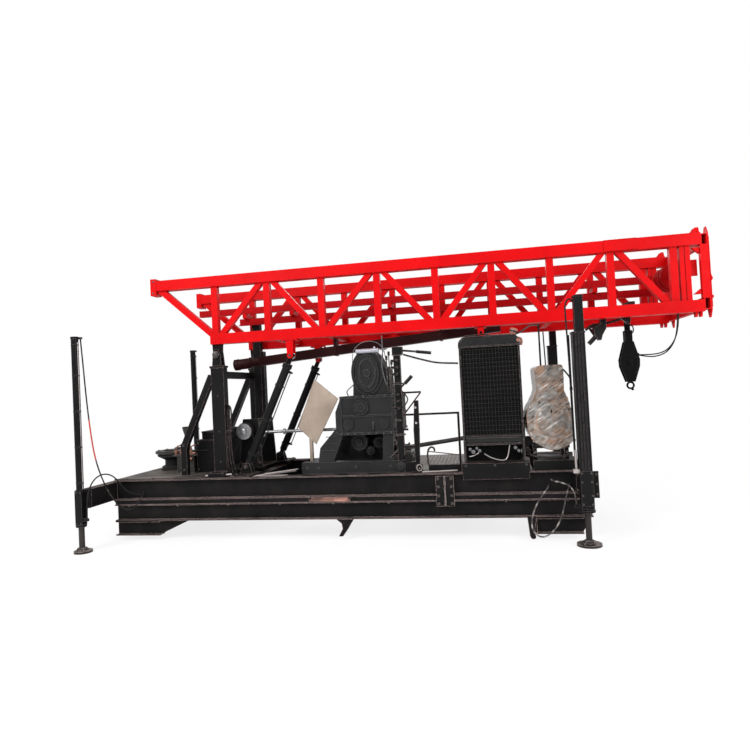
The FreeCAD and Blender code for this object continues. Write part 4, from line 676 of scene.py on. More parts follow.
for body, x, y, radius, hub, shift in (("leg_ln", left_x, left_y, 0.102, 0.055, 0.013),
                                       ("leg_lf", left_x, -left_y, 0.102, 0.055, 0.013),
                                       ("leg_rn", right_x, right_y, 0.126, 0.054, 0.0),
                                       ("leg_rf", right_x, -right_y, 0.126, 0.054, 0.0)):
    ribs = [boss((radius - 0.006, radius, radius - 0.012), (0.003, 0.008, 0.01),
                 (x + shift, y, 0.018), up, 40),
            turned([(hub + 0.002, 0.0), (hub + 0.008, 0.003), (hub + 0.002, 0.012)], (x, y, 0.026), up, 32)]
    rim = radius - 0.022
    for turn_at in range(4):
        angle = (turn_at + 0.5) * math.pi / 2.0
        out_x, out_y = math.cos(angle), math.sin(angle)
        inner_x, inner_y = x + out_x * hub, y + out_y * hub
        web_plate = [(inner_x, inner_y, 0.026), (x + out_x * rim, y + out_y * rim, 0.026),
                     (inner_x, inner_y, 0.052)]
        ribs.append(plate(web_plate, (-out_y * 0.008, out_x * 0.008, 0.0)))
    piece("pad_ribs_" + body, ribs, ground_rod, body)


# ---- mast ------------------------------------------------------------------------------
# Lattice of square tubes under bright red paint. Every joint is closed by a weld
# bead, the hinge and the luffing lugs hang on bolted pads. The hinge ears are left black.
mast_red = coated_metal("mast_red", (0.43, 0.0003, 0.0014), (0.5, 0.06, 0.06), (0.3, 0.02, 0.02), rough=0.42,
                        wear=0.3, width=0.005, dusting=0.1, dimple=0.06, mirror=0.05)
paint_where(mast_red, (("X", -2.25, -2.247), ("X", -2.05, -2.053), ("Z", 2.405, 2.399)),
            (0.008, 0.006, 0.006))
rail_red = coated_metal("rail_red", (0.3, 0.0008, 0.0025), (0.4, 0.04, 0.04), (0.18, 0.02, 0.02), wear=0.4,
                        width=0.004, dusting=0.2, dimple=0.06, mirror=0.05)
dress(mast_red, "mast_frame")
dress(rail_red, "mast_guides", "crown_sheaves", "crown_shaft")
uprights = [-2.158 + 0.7 * i for i in range(5)] + [0.642 + 0.657 * i for i in range(1, 5)]
low_top, high_low = 2.535, 3.14
face = -0.656
half = 0.042
weld = 0.0045
joints = []
for x in uprights:
    for z in (low_top, high_low):
        joints.append(seam(x - half, x + half, face - 0.002, z, weld))
        for edge in (x - half, x + half):
            joints.append(bead((edge, face - 0.002, z), (edge, -0.576, z), weld))
for number in range(8):
    odd = number % 2
    lean = -1.0 if odd else 1.0
    foot = uprights[number + odd] + lean * 0.078
    peak = uprights[number + 1 - odd] - lean * 0.078
    joints.append(seam(foot - 0.05, foot + 0.05, -0.653, low_top + 0.002, weld))
    joints.append(seam(peak - 0.05, peak + 0.05, -0.653, high_low - 0.002, weld))
for x in (-2.212, -2.088):
    joints.append(bead((x, -0.648, 2.404), (x, -0.584, 2.404), 0.005))
for z in (3.255, 3.15):
    joints.append(bead((-2.939, -0.683, z - 0.004), (-2.939, -0.683, z - 0.09), 0.004))
for z in (3.147, 3.268):
    joints.append(seam(2.545, 2.89, -0.6915, z, 0.004))
for x in (-1.272, -1.088):
    joints.append(block(x - 0.01, x + 0.01, -0.675, -0.557, 2.381, 2.393, 0.002))
piece("mast_welds", twins(joints), mast_red, "mast")
held = bolts((-1.262, -1.098), (-0.655, -0.577), 2.391, down, 0.012)
held += bolts((1.095, 1.19), -0.661, 2.392, near, 0.01)
held += bolts(-2.975, -0.687, (3.11, 3.26), near, 0.012)
held += bolts((3.5, 3.47), -0.576, (2.83, 2.97), far, 0.012)
held.append(boss((0.028, 0.034, 0.02), (0.002, 0.014, 0.018), (-2.15, -0.698, 2.27), near, 24))
piece("mast_bolts", twins(held), raw_bolts, "mast")


# ---- drive bar and mast head --------------------------------------------------------------
# The square drive bar lies in straps below the mast. Three rope sheaves turn in the head,
# which is closed by a plate with ears for the guy wires.
bar_brown = coated_metal("bar_brown", (0.018, 0.0022, 0.0025), (0.12, 0.06, 0.055), (0.08, 0.04, 0.035),
                         wear=0.6, dusting=0.2, mirror=0.09)
dress(bar_brown, "kelly_bar", "kelly_hangers", "hook_hanger", "pipe_tong")
dress(ground_rod, "mast_pins")
rise = np.array((1.0, 0.0, 0.08)) / math.hypot(1.0, 0.08)
bar_left = np.array((-1.83, 0.0, 2.19))
collars = []
for back, radius in ((0.37, 0.074), (0.33, 0.076), (0.15, 0.076)):
    collars.append(collar(radius - 0.004, radius + 0.003, 0.024, 0.004, bar_left - rise * back, rise, 36))
for back in (0.3, 0.265, 0.23, 0.195):
    collars.append(collar(0.0715, 0.0735, 0.008, 0.002, bar_left - rise * back, rise, 36))
piece("bar_collars", collars, bar_brown, "mast")
head_bits = [plate(at_depth(-0.66, (3.455, 2.6), (3.53, 2.66), (3.53, 2.6)), (0.0, 0.04, 0.0)),
             plate(at_depth(-0.66, (3.455, 3.11), (3.53, 3.11), (3.53, 3.04)), (0.0, 0.04, 0.0)),
             bead((3.624, -0.684, 2.45), (3.624, -0.684, 3.22), 0.0035)]
piece("head_trim", twins(head_bits), mast_red, "mast")


# ---- luffing cylinders -----------------------------------------------------------------
# Two rams raise the mast; barrels are enamelled and rods are chromed. A thin rubber line
# is strapped along each barrel, and nuts hold the feet and the lug.
chromed = coated_metal("chromed_rod", (0.55, 0.55, 0.56), (0.75, 0.75, 0.76), (0.25, 0.22, 0.2), rough=0.16,
                       wear=0.3, dusting=0.25, metal=1.0, dimple=0.02, mirror=0.5, grain=20.0)
dress(leg_enamel, "luff_barrel_near", "luff_barrel_far")
paint_where(chromed, (("Z", 2.095, 2.105),), (0.01, 0.009, 0.009))
dress(chromed, "luff_ram_near", "luff_ram_far")
foot_pin = np.array((-1.82, 0.0, 0.85))
climb = np.array((0.64, 0.0, 1.355)) / math.hypot(0.64, 1.355)
across = np.array((-climb[2], 0.0, climb[0]))
for side, y in (("near", -0.616), ("far", 0.616)):
    base_point = foot_pin + (0.0, y, 0.0)
    rings = []
    for along in (0.16, 0.62, 1.08):
        rings.append(collar(0.05, 0.057, 0.03, 0.004, base_point + climb * along, climb, 32))
    rings.append(collar(0.06, 0.063, 0.015, 0.003, base_point + climb * 1.345, climb, 32))
    for along in (0.2, 1.3):
        root = base_point + climb * along - across * 0.048
        rings.append(turned([(0.016, 0.0), (0.016, 0.03), (0.012, 0.034), (0.012, 0.05)], root, -across, 12))
    piece("luff_rings_" + side, rings, leg_enamel, "barrel_" + side)
    line = base_point - across * 0.072
    run = [line + climb * 0.22, line + climb * 0.3 - across * 0.01, line + climb * 1.18, line + climb * 1.3]
    piece("luff_feed_" + side, [bar(run, 0.007, 8, 6)], black_rubber, "barrel_" + side)
lug_pair = bolt((-1.18, -0.676, 2.205), near, 0.02) + bolt((-1.18, -0.556, 2.205), far, 0.02)
piece("lug_bolts", twins(lug_pair), raw_bolts, "mast")
foot_nuts = bolts((-1.92, -1.72), (-0.86, -0.74, -0.56), 0.768, up, 0.014)
foot_nuts += bolt((-1.82, -0.682, 0.85), near, 0.022)
piece("luff_foot_nuts", twins(foot_nuts), raw_bolts, "base")


# ---- posts -------------------------------------------------------------------------------
# Two square posts with raking braces carry the mast hinge. They are welded plates.
post_trim = [seam(-2.235, -2.065, -0.678, z, 0.006) for z in (0.805, 2.1)]
post_trim += [collar(0.006, 0.011, 0.009, 0.002, (-2.15, -0.6755, z), near, 14) for z in (0.92, 1.3, 1.75)]
piece("post_trim", twins(post_trim), black_enamel, "base")
post_nuts = bolts((-2.225, -2.075), (-0.8, -0.7), 0.8, up, 0.016)
post_nuts += bolts(-2.66, -0.657, (0.83, 1.14), near, 0.014)
piece("post_nuts", twins(post_nuts), raw_bolts, "base")


# ---- table, shelf and boxes --------------------------------------------------------------
# The turntable grips the drill pipe; its ring is bare forged steel on a cast body. Brass
# and copper pipe fittings and odd parts lie on the shelf beside it.
casting = dict(rough=0.5, wear=0.8, dusting=0.2, dimple=1.0, dimple_scale=160.0, mirror=0.14, depth=0.9)
cast_colours = (0.0105, 0.0105, 0.011), (0.17, 0.155, 0.15), (0.12, 0.1, 0.09)
cast_grey = coated_metal("cast_grey", *cast_colours, **casting)
shaded_case_foot = coated_metal("shaded_case_foot", *cast_colours, **casting)
# Below z 0.89 the hangers turn darker: painted shade low down under the gear case.
paint_where(shaded_case_foot, (("Z", 0.892, 0.888),), (0.003, 0.003, 0.0034))
worn_grey = coated_metal("worn_grey", (0.03, 0.028, 0.027), (0.34, 0.3, 0.28), (0.16, 0.13, 0.115), rough=0.5,
                         wear=0.7, dusting=0.5, metal=0.4, mirror=0.3)
dress(cast_grey, "gear_case", "case_cover", "case_bosses", "table_body", "lower_gear")
dress(shaded_case_foot, "gear_hangers")
dress(worn_grey, "table_ring", "winch_drum", "tool_shelf")
dress(black_enamel, "winch_frame", "left_boxes", "control_stand", "radiator_base", "unit_stand", "unit_pipes",
      "air_cleaner")
lugs = bolt_circle((table_x, 0.0, 1.026), 0.215, 8, up, 0.014, 0.2)
for y in (-0.135, 0.135):
    lugs.append(block(table_x - 0.05, table_x + 0.05, y - 0.04, y + 0.04, 1.026, 1.052, 0.006))
lugs.append(boss((0.246, 0.25, 0.244), (0.004, 0.012, 0.014), (table_x, 0.0, 0.996), up, 64))
piece("table_lugs", lugs, worn_grey, "table_rotor")
rim = [collar(0.214, 0.222, 0.022, 0.004, (table_x, 0.0, 0.955), up, 56),
       boss((0.166, 0.18, 0.166), (0.003, 0.02, 0.024), (table_x, 0.0, 0.761), up, 56)]
rim += bolt_circle((table_x, 0.0, 0.81), 0.15, 10, up, 0.012)
rim += bolts((-2.845, -2.685), (-0.125, 0.125), 0.9, up, 0.014)
piece("table_rim", rim, cast_grey, "base")
copper = coated_metal("copper_fittings", (0.2, 0.09, 0.06), (0.55, 0.38, 0.3), (0.14, 0.1, 0.08), rough=0.4,
                      wear=0.8, dusting=0.6, metal=0.5)
dress(copper, "brass_fittings")
unions = []
for number in range(4):
    x = -2.905 + 0.07 * number
    unions.append(collar(0.017, 0.026, 0.02, 0.003, (x, -0.404, 1.036), up, 6))
    elbow = [(x, -0.404, 1.05), (x + 0.004, -0.404, 1.09), (x + 0.03, -0.4, 1.115), (x + 0.06, -0.39, 1.118)]
    unions.append(bar(elbow, 0.009, 10, 5))
sleeve = [(0.012, -0.03), (0.018, -0.03), (0.022, -0.012), (0.022, 0.012), (0.018, 0.03), (0.012, 0.03)]
for place in ((-2.76, -0.42, 0.952), (-2.7, -0.42, 0.94), (-2.66, -0.4, 1.01)):
    unions.append(turned(sleeve, place, right, 12))
piece("copper_unions", unions, copper, "base")
boxes = []
for x0, x1, z in ((-2.6, -2.33, 1.176), (-2.52, -2.33, 1.286)):
    boxes.append(block(x0 - 0.006, x1 + 0.006, -0.426, 0.426, z - 0.006, z + 0.01, 0.003))
handle = [(-2.56, -0.421, 1.05), (-2.56, -0.445, 1.05), (-2.44, -0.445, 1.05), (-2.44, -0.421, 1.05)]
boxes.append(bar(handle, 0.006, 8))
boxes += bolts((-2.585, -2.345), -0.42, (0.8, 1.14), near, 0.01)
boxes.append(turned([(0.034, 0.0), (0.064, 0.0), (0.07, 0.006), (0.07, 0.018), (0.06, 0.022)],
                    (-2.79, -0.29, 1.338), up, 28))
piece("box_trim", boxes, black_enamel, "base")


# ---- winch -----------------------------------------------------------------------------
# The hoist between the posts: rope in two layers on the drum, a bright brake drum on its
# near end under a lined band. Three feed lines run down the near post to the deck.
wire_rope = coated_metal("wire_rope", (0.045, 0.036, 0.032), (0.25, 0.2, 0.18), (0.1, 0.07, 0.055),
                         rough=0.55, gloss=0.1, wear=0.4, width=0.001, dusting=0.5, metal=0.6, dimple=0.7,
                         dimple_scale=700.0)
winch_x, winch_z = -1.915, 1.275
wraps = []
for radius, turns_wound, start in ((0.078, 27, -0.296), (0.092, 22, -0.29)):
    t = np.linspace(0.0, turns_wound * 2.0 * math.pi, turns_wound * 18)
    coil = np.stack([winch_x + radius * np.cos(t), start + 0.0155 * t / (2.0 * math.pi),
                     winch_z + radius * np.sin(t)], 1)
    wraps.append(bar(coil, 0.0078, 6))
piece("drum_rope", wraps, wire_rope, "winch_rotor")
bright_drum = coated_metal("bright_drum", (0.2, 0.2, 0.21), (0.6, 0.6, 0.6), (0.2, 0.18, 0.17), rough=0.3,
                           wear=0.6, dusting=0.5, metal=0.7, dimple=0.05, mirror=0.5)
drum = [collar(0.0905, 0.0915, 0.08, 0.002, (winch_x, -0.454, winch_z), far, 48),
        boss((0.1, 0.103, 0.098), (0.003, 0.011, 0.015), (winch_x, -0.471, winch_z), far, 48)]
drum += bolt_circle((winch_x, -0.471, winch_z), 0.06, 6, near, 0.012)
drum.append(boss((0.03, 0.038, 0.02), (0.004, 0.022, 0.03), (winch_x, -0.47, winch_z), near, 24))
piece("brake_drum", drum, bright_drum, "winch_rotor")
lining = 0.108
arc = [(winch_x + lining * math.cos(angle), -0.42, winch_z + lining * math.sin(angle))
       for angle in np.linspace(-0.5, 3.9, 30)]
bands = [bar(arc, 0.009, 8),
         bar([(winch_x + 0.095, -0.42, winch_z - 0.055), (winch_x + 0.16, -0.44, winch_z - 0.2),
              (winch_x + 0.17, -0.46, winch_z - 0.42)], 0.01, 8, 5),
         bar([(winch_x - 0.2, -0.4, 1.32), (winch_x - 0.13, -0.42, 1.18), (winch_x - 0.14, -0.46, 0.98),
              (winch_x - 0.18, -0.5, 0.765)], 0.012, 8, 6)]
bands += bolts((winch_x - 0.1, winch_x + 0.15), -0.345, 0.86, near, 0.014)
bands += bolts((winch_x - 0.1, winch_x + 0.15), 0.185, 0.86, far, 0.014)
bands.append(boss((0.031, 0.06, 0.045), (0.002, 0.018, 0.026), (winch_x, -0.345, winch_z), near, 28))
piece("brake_band", bands, black_enamel, "base")
feeds = [block(-2.066, -1.996, -0.676, -0.636, 1.29, 1.312, 0.004)]
for shift in (0.0, 0.022, 0.044):
    run = [(-2.063, -0.59 - shift, 1.6 + shift), (-2.052 + shift, -0.62, 1.565),
           (-2.052 + shift, -0.655, 1.22), (-2.052 + 1.5 * shift, -0.672, 0.96),
           (-2.03 + 1.8 * shift, -0.69, 0.83), (-2.01 + 2.0 * shift, -0.7, 0.751)]
    feeds.append(bar(run, 0.009, 8, 8))
piece("winch_feeds", feeds, black_enamel, "base")


# ---- gear case ---------------------------------------------------------------------------
# Cast drawworks gearing on legs, with an oval cover. A bright brake cylinder lies on top,
# a wire guard arches over it and a toothed gear turns between the legs.
case_face = -0.75
cover_x, cover_z = -0.208, 1.935
rim_row = np.arange(-0.53, 0.1, 0.087)
case_fit = []
for x_places, z in ((rim_row, 1.654), (rim_row - 0.03, 1.2185)):
    case_fit += bolts(x_places, -0.76, z, near, 0.01)
    case_fit += bolts(x_places, 0.262, z, far, 0.012)
case_fit += bolts((-1.0, -0.86, -0.4, 0.02), case_face, 0.82, near, 0.016)
for x, z in ((-0.235, 1.905), (-0.19, 1.87), (-0.205, 1.965)):
    case_fit += bolt((x, -0.7765, z), near, 0.007)
piece("case_bolts", case_fit, cast_grey, "base")


def oval_path(middle_x, middle_z, half_width, half_height, y, count=49):
    """Points of an ellipse in the x-z plane at depth y, first and last alike."""
    angle = np.linspace(0.0, 2.0 * math.pi, count)
    x = middle_x + half_width * np.cos(angle)
    return np.stack([x, np.full(count, y), middle_z + half_height * np.sin(angle)], 1)


cast_forms = []
for half_width, half_height, y, radius in ((0.14, 0.224, -0.757, 0.0045), (0.098, 0.168, -0.771, 0.0045),
                                           (0.044, 0.044, -0.7765, 0.0035), (0.166, 0.25, -0.731, 0.006)):
    cast_forms.append(bar(oval_path(cover_x, cover_z, half_width, half_height, y), radius, 8))
for x in (-0.56, 0.06):
    cast_forms.append(block(x, x + 0.022, -0.766, case_face, 1.242, 1.636, 0.004))
cast_forms.append(block(-0.48, 0.06, -0.764, case_face, 1.418, 1.44, 0.004))
for x in (-0.48, -0.17, 0.09):
    rib = [(x, case_face, 1.242), (x, -0.778, 1.262), (x, -0.778, 1.29), (x, case_face, 1.35)]
    cast_forms.append(plate(rib, (0.014, 0.0, 0.0)))
for z in (1.03, 1.11, 1.19):
    cast_forms.append(seam(-0.815 + 0.4 * (z - 1.03), -0.64 + 0.42 * (z - 1.03), -0.7425, z, 0.005))
plug = [(0.05, 0.0), (0.056, 0.004), (0.056, 0.02), (0.044, 0.026), (0.03, 0.026), (0.026, 0.04)]
cast_forms += [turned(plug, (0.145, case_face, 0.815), near, 32),
               turned([(0.05, 0.0), (0.12, 0.002), (0.12, 0.018), (0.07, 0.024), (0.07, 0.05), (0.03, 0.056)],
                      (-0.24, 0.2505, 1.33), far, 36),
               boss((0.05, 0.15, 0.06), (0.002, 0.012, 0.02), (-0.214, -0.3295, 1.93), far, 40),
               seam(-1.06, 0.175, -0.7515, 0.886, 0.005),
               seam(-1.06, 0.175, -0.7515, 0.756, 0.004)]
piece("case_forms", cast_forms, cast_grey, "base")
zinc_plate = coated_metal("zinc_plate", (0.3, 0.29, 0.33), (0.55, 0.54, 0.58), (0.25, 0.22, 0.22), rough=0.35,
                          wear=0.5, dusting=0.4, metal=0.5, dimple=0.05, mirror=0.3)
dress(zinc_plate, "brake_cylinder")
cylinder = []
for x, radius in ((-0.331, 0.031), (-0.262, 0.0285), (-0.13, 0.0285), (-0.075, 0.031)):
    cylinder.append(collar(radius - 0.004, radius, 0.016, 0.002, (x, -0.74, 2.195), right, 28))
cylinder.append(turned([(0.012, 0.0), (0.012, 0.022), (0.009, 0.024)], (-0.11, -0.74, 2.22), up, 6))
piece("cylinder_trim", cylinder, zinc_plate, "base")
guard_y = -0.69
hoop = at_depth(guard_y, (-0.395, 2.06), (-0.375, 2.2), (-0.3, 2.285), (-0.19, 2.315),
                (-0.085, 2.29), (-0.01, 2.215), (0.01, 2.12))
wires = [bar(hoop, 0.0042, 8, 8),
         bar([(-0.02, guard_y, 1.99), (-0.02, guard_y, 2.372)], 0.006, 8),
         bar([(-0.052, guard_y, 2.205), (0.04, guard_y, 2.215)], 0.006, 8),
         bar([(-0.46, -0.7, 1.668), (-0.47, -0.71, 1.73), (-0.392, -0.7, 1.8)], 0.007, 8, 5),
         bar([(0.035, -0.735, 2.205), (-0.005, -0.735, 2.18), (-0.03, -0.735, 2.05), (-0.012, -0.74, 1.9),
              (0.02, -0.745, 1.78)], 0.006, 8, 6)]
galvanised = coated_metal("galvanised_wire", (0.1, 0.1, 0.105), (0.4, 0.38, 0.37), (0.2, 0.18, 0.17),
                          rough=0.4, wear=0.7, width=0.003, dusting=0.4, metal=0.4)
piece("case_wires", wires, galvanised, "base")
teeth = []
hub = np.array((-0.385, -0.56, 1.1))
for angle in np.arange(28) * 2.0 * math.pi / 28.0:
    out = np.array((math.cos(angle), 0.0, math.sin(angle)))
    aside = np.array((-math.sin(angle), 0.0, math.cos(angle)))
    root, tip = hub + out * 0.091, hub + out * 0.1025
    tooth = [root - aside * 0.0065, root + aside * 0.0065, tip + aside * 0.0035, tip - aside * 0.0035]
    teeth.append(plate(tooth, (0.0, 0.06, 0.0)))
piece("gear_teeth", teeth, cast_grey, "low_shaft")
small_gears = []
for x, z, radius in ((-0.15, 1.085, 0.07), (-0.255, 0.985, 0.055)):
    small_gears.append(turned([(0.022, 0.0), (radius, 0.004), (radius, 0.04), (0.03, 0.046), (0.03, 0.07),
                               (0.012, 0.072)], (x, -0.48, z), near, 28))
    small_gears.append(bar(oval_path(x, z, radius * 0.72, radius * 0.72, -0.5205), 0.004, 8))
small_gears += [block(-0.54, -0.085, -0.42, -0.12, 0.89, 1.045, 0.02),
                block(-0.765, -0.19, 0.075, 0.115, 0.89, 1.203, 0.012),
                bar(at_depth(-0.47, (-0.385, 0.96), (-0.255, 0.985), (-0.15, 1.085), (-0.02, 1.15)),
                    0.014, 8)]
pump_black = coated_metal("pump_black", (0.0048, 0.0048, 0.005), (0.1, 0.09, 0.085), (0.05, 0.04, 0.037),
                          wear=0.6, dusting=0.3, mirror=0.12)
piece("pump_wheels", small_gears, pump_black, "base")
guard_tan = coated_metal("guard_tan", (0.27, 0.215, 0.17), (0.08, 0.05, 0.04), (0.07, 0.045, 0.035),
                         rough=0.6, wear=0.9, width=0.02, dusting=0.9, depth=0.6)
dress(guard_tan, "sheet_guard")
shaft_y, shaft_z = -0.3, 1.25
flange = (0.02, 0.06, 0.034), (0.002, 0.016, 0.018)
light_shaft = [collar(0.016, 0.02, 1.1, 0.004, (-1.723, shaft_y, shaft_z), right, 20),
               boss((0.02, 0.036, 0.02), (0.002, 0.03, 0.034), (-1.44, shaft_y, shaft_z), right, 20),
               boss(*flange, (-1.7245, shaft_y, shaft_z), right, 24),
               boss(*flange, (-0.6205, shaft_y, shaft_z), left, 24)]
piece("cross_shaft", light_shaft, bright_drum, "base")


# ---- control station ----------------------------------------------------------------------
# Valve column with rod linkages and hand levers, bolted to the base beam. Grips are
# thicker than their bars; the bars are bare where hands and clevises rub.
link_y = -0.735
links = []
stop = (0.005, 0.013, 0.006), (0.002, 0.007, 0.009)
for x, z0, z1, radius in ((0.03, 1.26, 2.1, 0.0075), (0.06, 1.6, 2.15, 0.0065), (0.088, 1.1, 2.04, 0.0075)):
    rod = at_depth(link_y, (x, z0), (x + 0.004, (z0 + z1) / 2.0), (x - 0.002, z1))
    links.append(bar(rod, radius, 8))
    for z in (z0, z1):
        links.append(block(x - 0.013, x + 0.013, link_y - 0.014, link_y + 0.014, z - 0.026, z + 0.026, 0.004))
links += [bar([(0.015, link_y, 1.985), (0.118, link_y, 1.975)], 0.008, 8),
          bar([(0.022, link_y, 1.61), (0.118, link_y, 1.64)], 0.01, 8),
          bar([(0.05, link_y, 1.3), (0.118, link_y, 1.27)], 0.01, 8),
          bar(at_depth(link_y, (0.233, 2.128), (0.431, 2.063), (0.626, 2.011), (0.867, 1.989)), 0.0105, 8, 8),
          bar([(0.215, -0.732, 2.177), (0.4, -0.732, 2.152)], 0.0125, 10),
          bar([(0.385, -0.732, 2.154), (0.562, -0.732, 2.128)], 0.0185, 12),
          bar([(0.235, -0.733, 1.785), (0.322, -0.733, 1.872)], 0.021, 12),
          bar(at_depth(link_y, (0.183, 1.384), (0.178, 1.31), (0.178, 1.262), (0.192, 1.248), (0.25, 1.247)),
              0.014, 8),
          bar(at_depth(link_y, (0.02, 0.925), (0.09, 0.985), (0.165, 1.05)), 0.011, 8),
          bar([(-0.05, -0.705, 0.9), (0.14, -0.712, 0.912), (0.345, -0.715, 0.905)], 0.009, 8),
          bar(at_depth(-0.765, (0.465, 0.83), (0.462, 0.93), (0.472, 1.0), (0.506, 1.034), (0.54, 1.02),
                        (0.545, 0.985)), 0.011, 8, 5),
          bar([(0.476, -0.762, 0.985), (0.64, -0.755, 0.962), (0.823, -0.75, 0.935)], 0.006, 8, 5),
          bar([(0.195, -0.71, 1.7), (0.255, -0.7, 1.6), (0.195, -0.71, 1.5)], 0.008, 8, 5),
          turned([(0.02, 0.0), (0.072, 0.003), (0.078, 0.012), (0.078, 0.044), (0.06, 0.056), (0.03, 0.06)],
                 (0.215, -0.7, 0.925), near, 30),
          boss((0.02, 0.052, 0.03), (0.003, 0.03, 0.036), (0.085, -0.7, 0.905), near, 24)]
for z in (1.5, 1.58, 1.66, 1.9, 1.98, 2.06):
    links.append(boss((0.01, 0.02, 0.011), (0.003, 0.03, 0.04), (0.155, -0.76, z), near, 6))
    links.append(block(0.08, 0.116, -0.752, -0.716, z - 0.016, z + 0.016, 0.004))
for z in (1.18, 1.35, 1.78, 2.12):
    links.append(block(0.1, 0.214, -0.768, -0.692, z, z + 0.018, 0.004))
# Pale rubbed edges; on the tong arm they also stand in for painted highlight along its top.
worn_highlit_links = coated_metal("worn_highlit_links", (0.0052, 0.005, 0.0052), (0.46, 0.38, 0.36), dry_dust, rough=0.4,
                          wear=0.95, width=0.007, dusting=0.35, mirror=0.1)
piece("control_links", links, worn_highlit_links, "base")
eyes = [bar(oval_path(0.362, 0.8, 0.031, 0.036, -0.772), 0.0065, 8),
        collar(0.003, 0.008, 0.01, 0.002, (0.362, -0.77, 0.794), near, 12),
        boss(*stop, (0.348, -0.76, 1.5), near, 16),
        boss(*stop, (0.348, -0.76, 1.32), near, 16)]
foot_plate = block(0.318, 0.404, -0.772, -0.761, 0.752, 0.842, 0.008)
piece("control_plate", [foot_plate], black_enamel, "base")
piece("control_eyes", eyes, pale_steel, "base")
middle_deck = [block(0.19, 0.852, -0.69, 0.8, 0.7505, 0.757, 0.002)]
for x in np.arange(0.215, 0.84, 0.05):
    for y in np.arange(-0.66, 0.78, 0.05):
        middle_deck.append(lozenge(x, y, 0.757, 0.05, 0.012, 0.009))
# Light grey deck colour: grit and dust, and partly painted light where the upward face takes the sky at a
# grazing view.
sky_lit_gritty = coated_metal("gritty_deck_painted_light", (0.22, 0.205, 0.2), (0.5, 0.47, 0.45), (0.27, 0.245, 0.225), rough=0.7,
                      wear=0.9, width=0.004, dusting=1.0, dimple=0.9, dimple_scale=90.0, mirror=0.2)
piece("middle_deck", middle_deck, sky_lit_gritty, "base")


# ---- radiator and engine -------------------------------------------------------------------
# Pressed-sheet tanks closed by a rolled seam over a finned core, with a welded wire grille
# between the side posts. The engine behind it carries pipes, filters and bolted covers.
tank_enamel = coated_metal("tank_enamel", (0.0042, 0.0042, 0.0046), primer, dry_dust, rough=0.28, gloss=0.25,
                           wear=0.8, width=0.005, dusting=0.2, mirror=0.22)
core_black = coated_metal("core_black", (0.0034, 0.0034, 0.0036), (0.05, 0.045, 0.04), (0.03, 0.025, 0.022),
                          rough=0.6, wear=0.3, dusting=0.3, mirror=0.05)
dress(tank_enamel, "radiator_tanks")
dress(core_black, "radiator_core")
fins = []
fin_x, fin_back, fin_front = 0.916, -0.8505, -0.8625
for z in np.arange(1.17, 2.145, 0.0245):
    sway = 0.0035 * math.sin(z * 23.0)
    fin = [(fin_x, fin_back, z), (fin_x, fin_front, z - 0.004),
           (fin_x, fin_front, z - 0.001 + sway * 0.4), (fin_x, fin_back, z + 0.003)]
    fins.append(plate(fin, (0.613, 0.0, sway)))
piece("core_fins", fins, core_black, "base")
mesh_wire = coated_metal("mesh_wire", (0.009, 0.0085, 0.0085), (0.11, 0.1, 0.095), (0.1, 0.08, 0.075),
                         rough=0.4, wear=0.5, width=0.002, dusting=0.4, mirror=0.2)
grille = []
for x in np.linspace(0.935, 1.51, 17):
    wire = [(x, -0.87, 1.135), (x + 0.002 * math.sin(x * 60), -0.871, 1.65), (x, -0.87, 2.145)]
    grille.append(bar(wire, 0.0028, 6))
for z in np.linspace(1.165, 2.125, 20):
    grille.append(bar(at_depth(-0.8655, (0.912, z), (1.2225, z - 0.0015), (1.533, z)), 0.0028, 6))
piece("grille", grille, mesh_wire, "base")
rolled = [block(0.88, 1.565, -0.885, -0.872, 2.1515, 2.166, 0.004),
          bar([(0.884, -0.876, 2.168), (0.89, -0.877, 2.215), (0.915, -0.877, 2.25), (0.972, -0.876, 2.272),
               (1.222, -0.876, 2.274), (1.473, -0.876, 2.272), (1.53, -0.877, 2.25), (1.556, -0.877, 2.215),
               (1.562, -0.876, 2.168)], 0.0055, 8, 4),
          block(0.92, 1.525, -0.888, -0.878, 1.128, 1.152, 0.004),
          block(0.92, 1.525, -0.888, -0.878, 1.05, 1.07, 0.004),
          bar(at_depth(-0.8, (0.96, 2.292), (1.19, 2.3), (1.23, 2.286)), 0.008, 8),
          bar([(1.515, -0.805, 2.272), (1.59, -0.805, 2.305), (1.69, -0.775, 2.366), (1.79, -0.7, 2.372)],
              0.009, 8, 4)]
for x in (0.893, 1.545):
    rolled.append(block(x - 0.006, x + 0.012, -0.886, -0.879, 0.86, 2.148, 0.003))
piece("tank_seams", rolled, tank_enamel, "base")
frame_nuts = bolts((0.9, 1.545), -0.8865, (0.9, 1.1, 1.3, 1.55, 1.8, 2.05), near, 0.009)
frame_nuts += bolts((0.9, 1.22, 1.56), -0.9155, 0.828, near, 0.012)
piece("radiator_nuts", frame_nuts, cast_grey, "base")
rust_pink = coated_metal("rust_pink", (0.22, 0.085, 0.06), (0.55, 0.38, 0.33), (0.35, 0.25, 0.22), rough=0.75,
                         wear=0.8, width=0.008, dusting=0.5, dimple=0.5, mirror=0.2)
lean = np.array((0.35, 0.0, 1.0)) / math.hypot(0.35, 1.0)
neck_foot = np.array((1.478, -0.82, 2.236))
filler = [turned([(0.034, 0.0), (0.043, 0.004), (0.043, 0.02), (0.036, 0.026), (0.036, 0.055), (0.04, 0.058),
                  (0.04, 0.068), (0.034, 0.07)], neck_foot, lean, 26),
          turned([(0.03, 0.0), (0.046, 0.003), (0.046, 0.02), (0.026, 0.028), (0.012, 0.03)],
                 neck_foot + lean * 0.086, lean, 10),
          bar([(1.53, -0.83, 2.235), (1.575, -0.84, 2.225), (1.585, -0.84, 2.185), (1.572, -0.84, 2.15)],
              0.014, 10, 5),
          boss((0.01, 0.02, 0.01), (0.002, 0.024, 0.028), (1.545, -0.868, 2.205), near, 6)]
piece("filler", filler, rust_pink, "base")
pipes, stubs = [], []
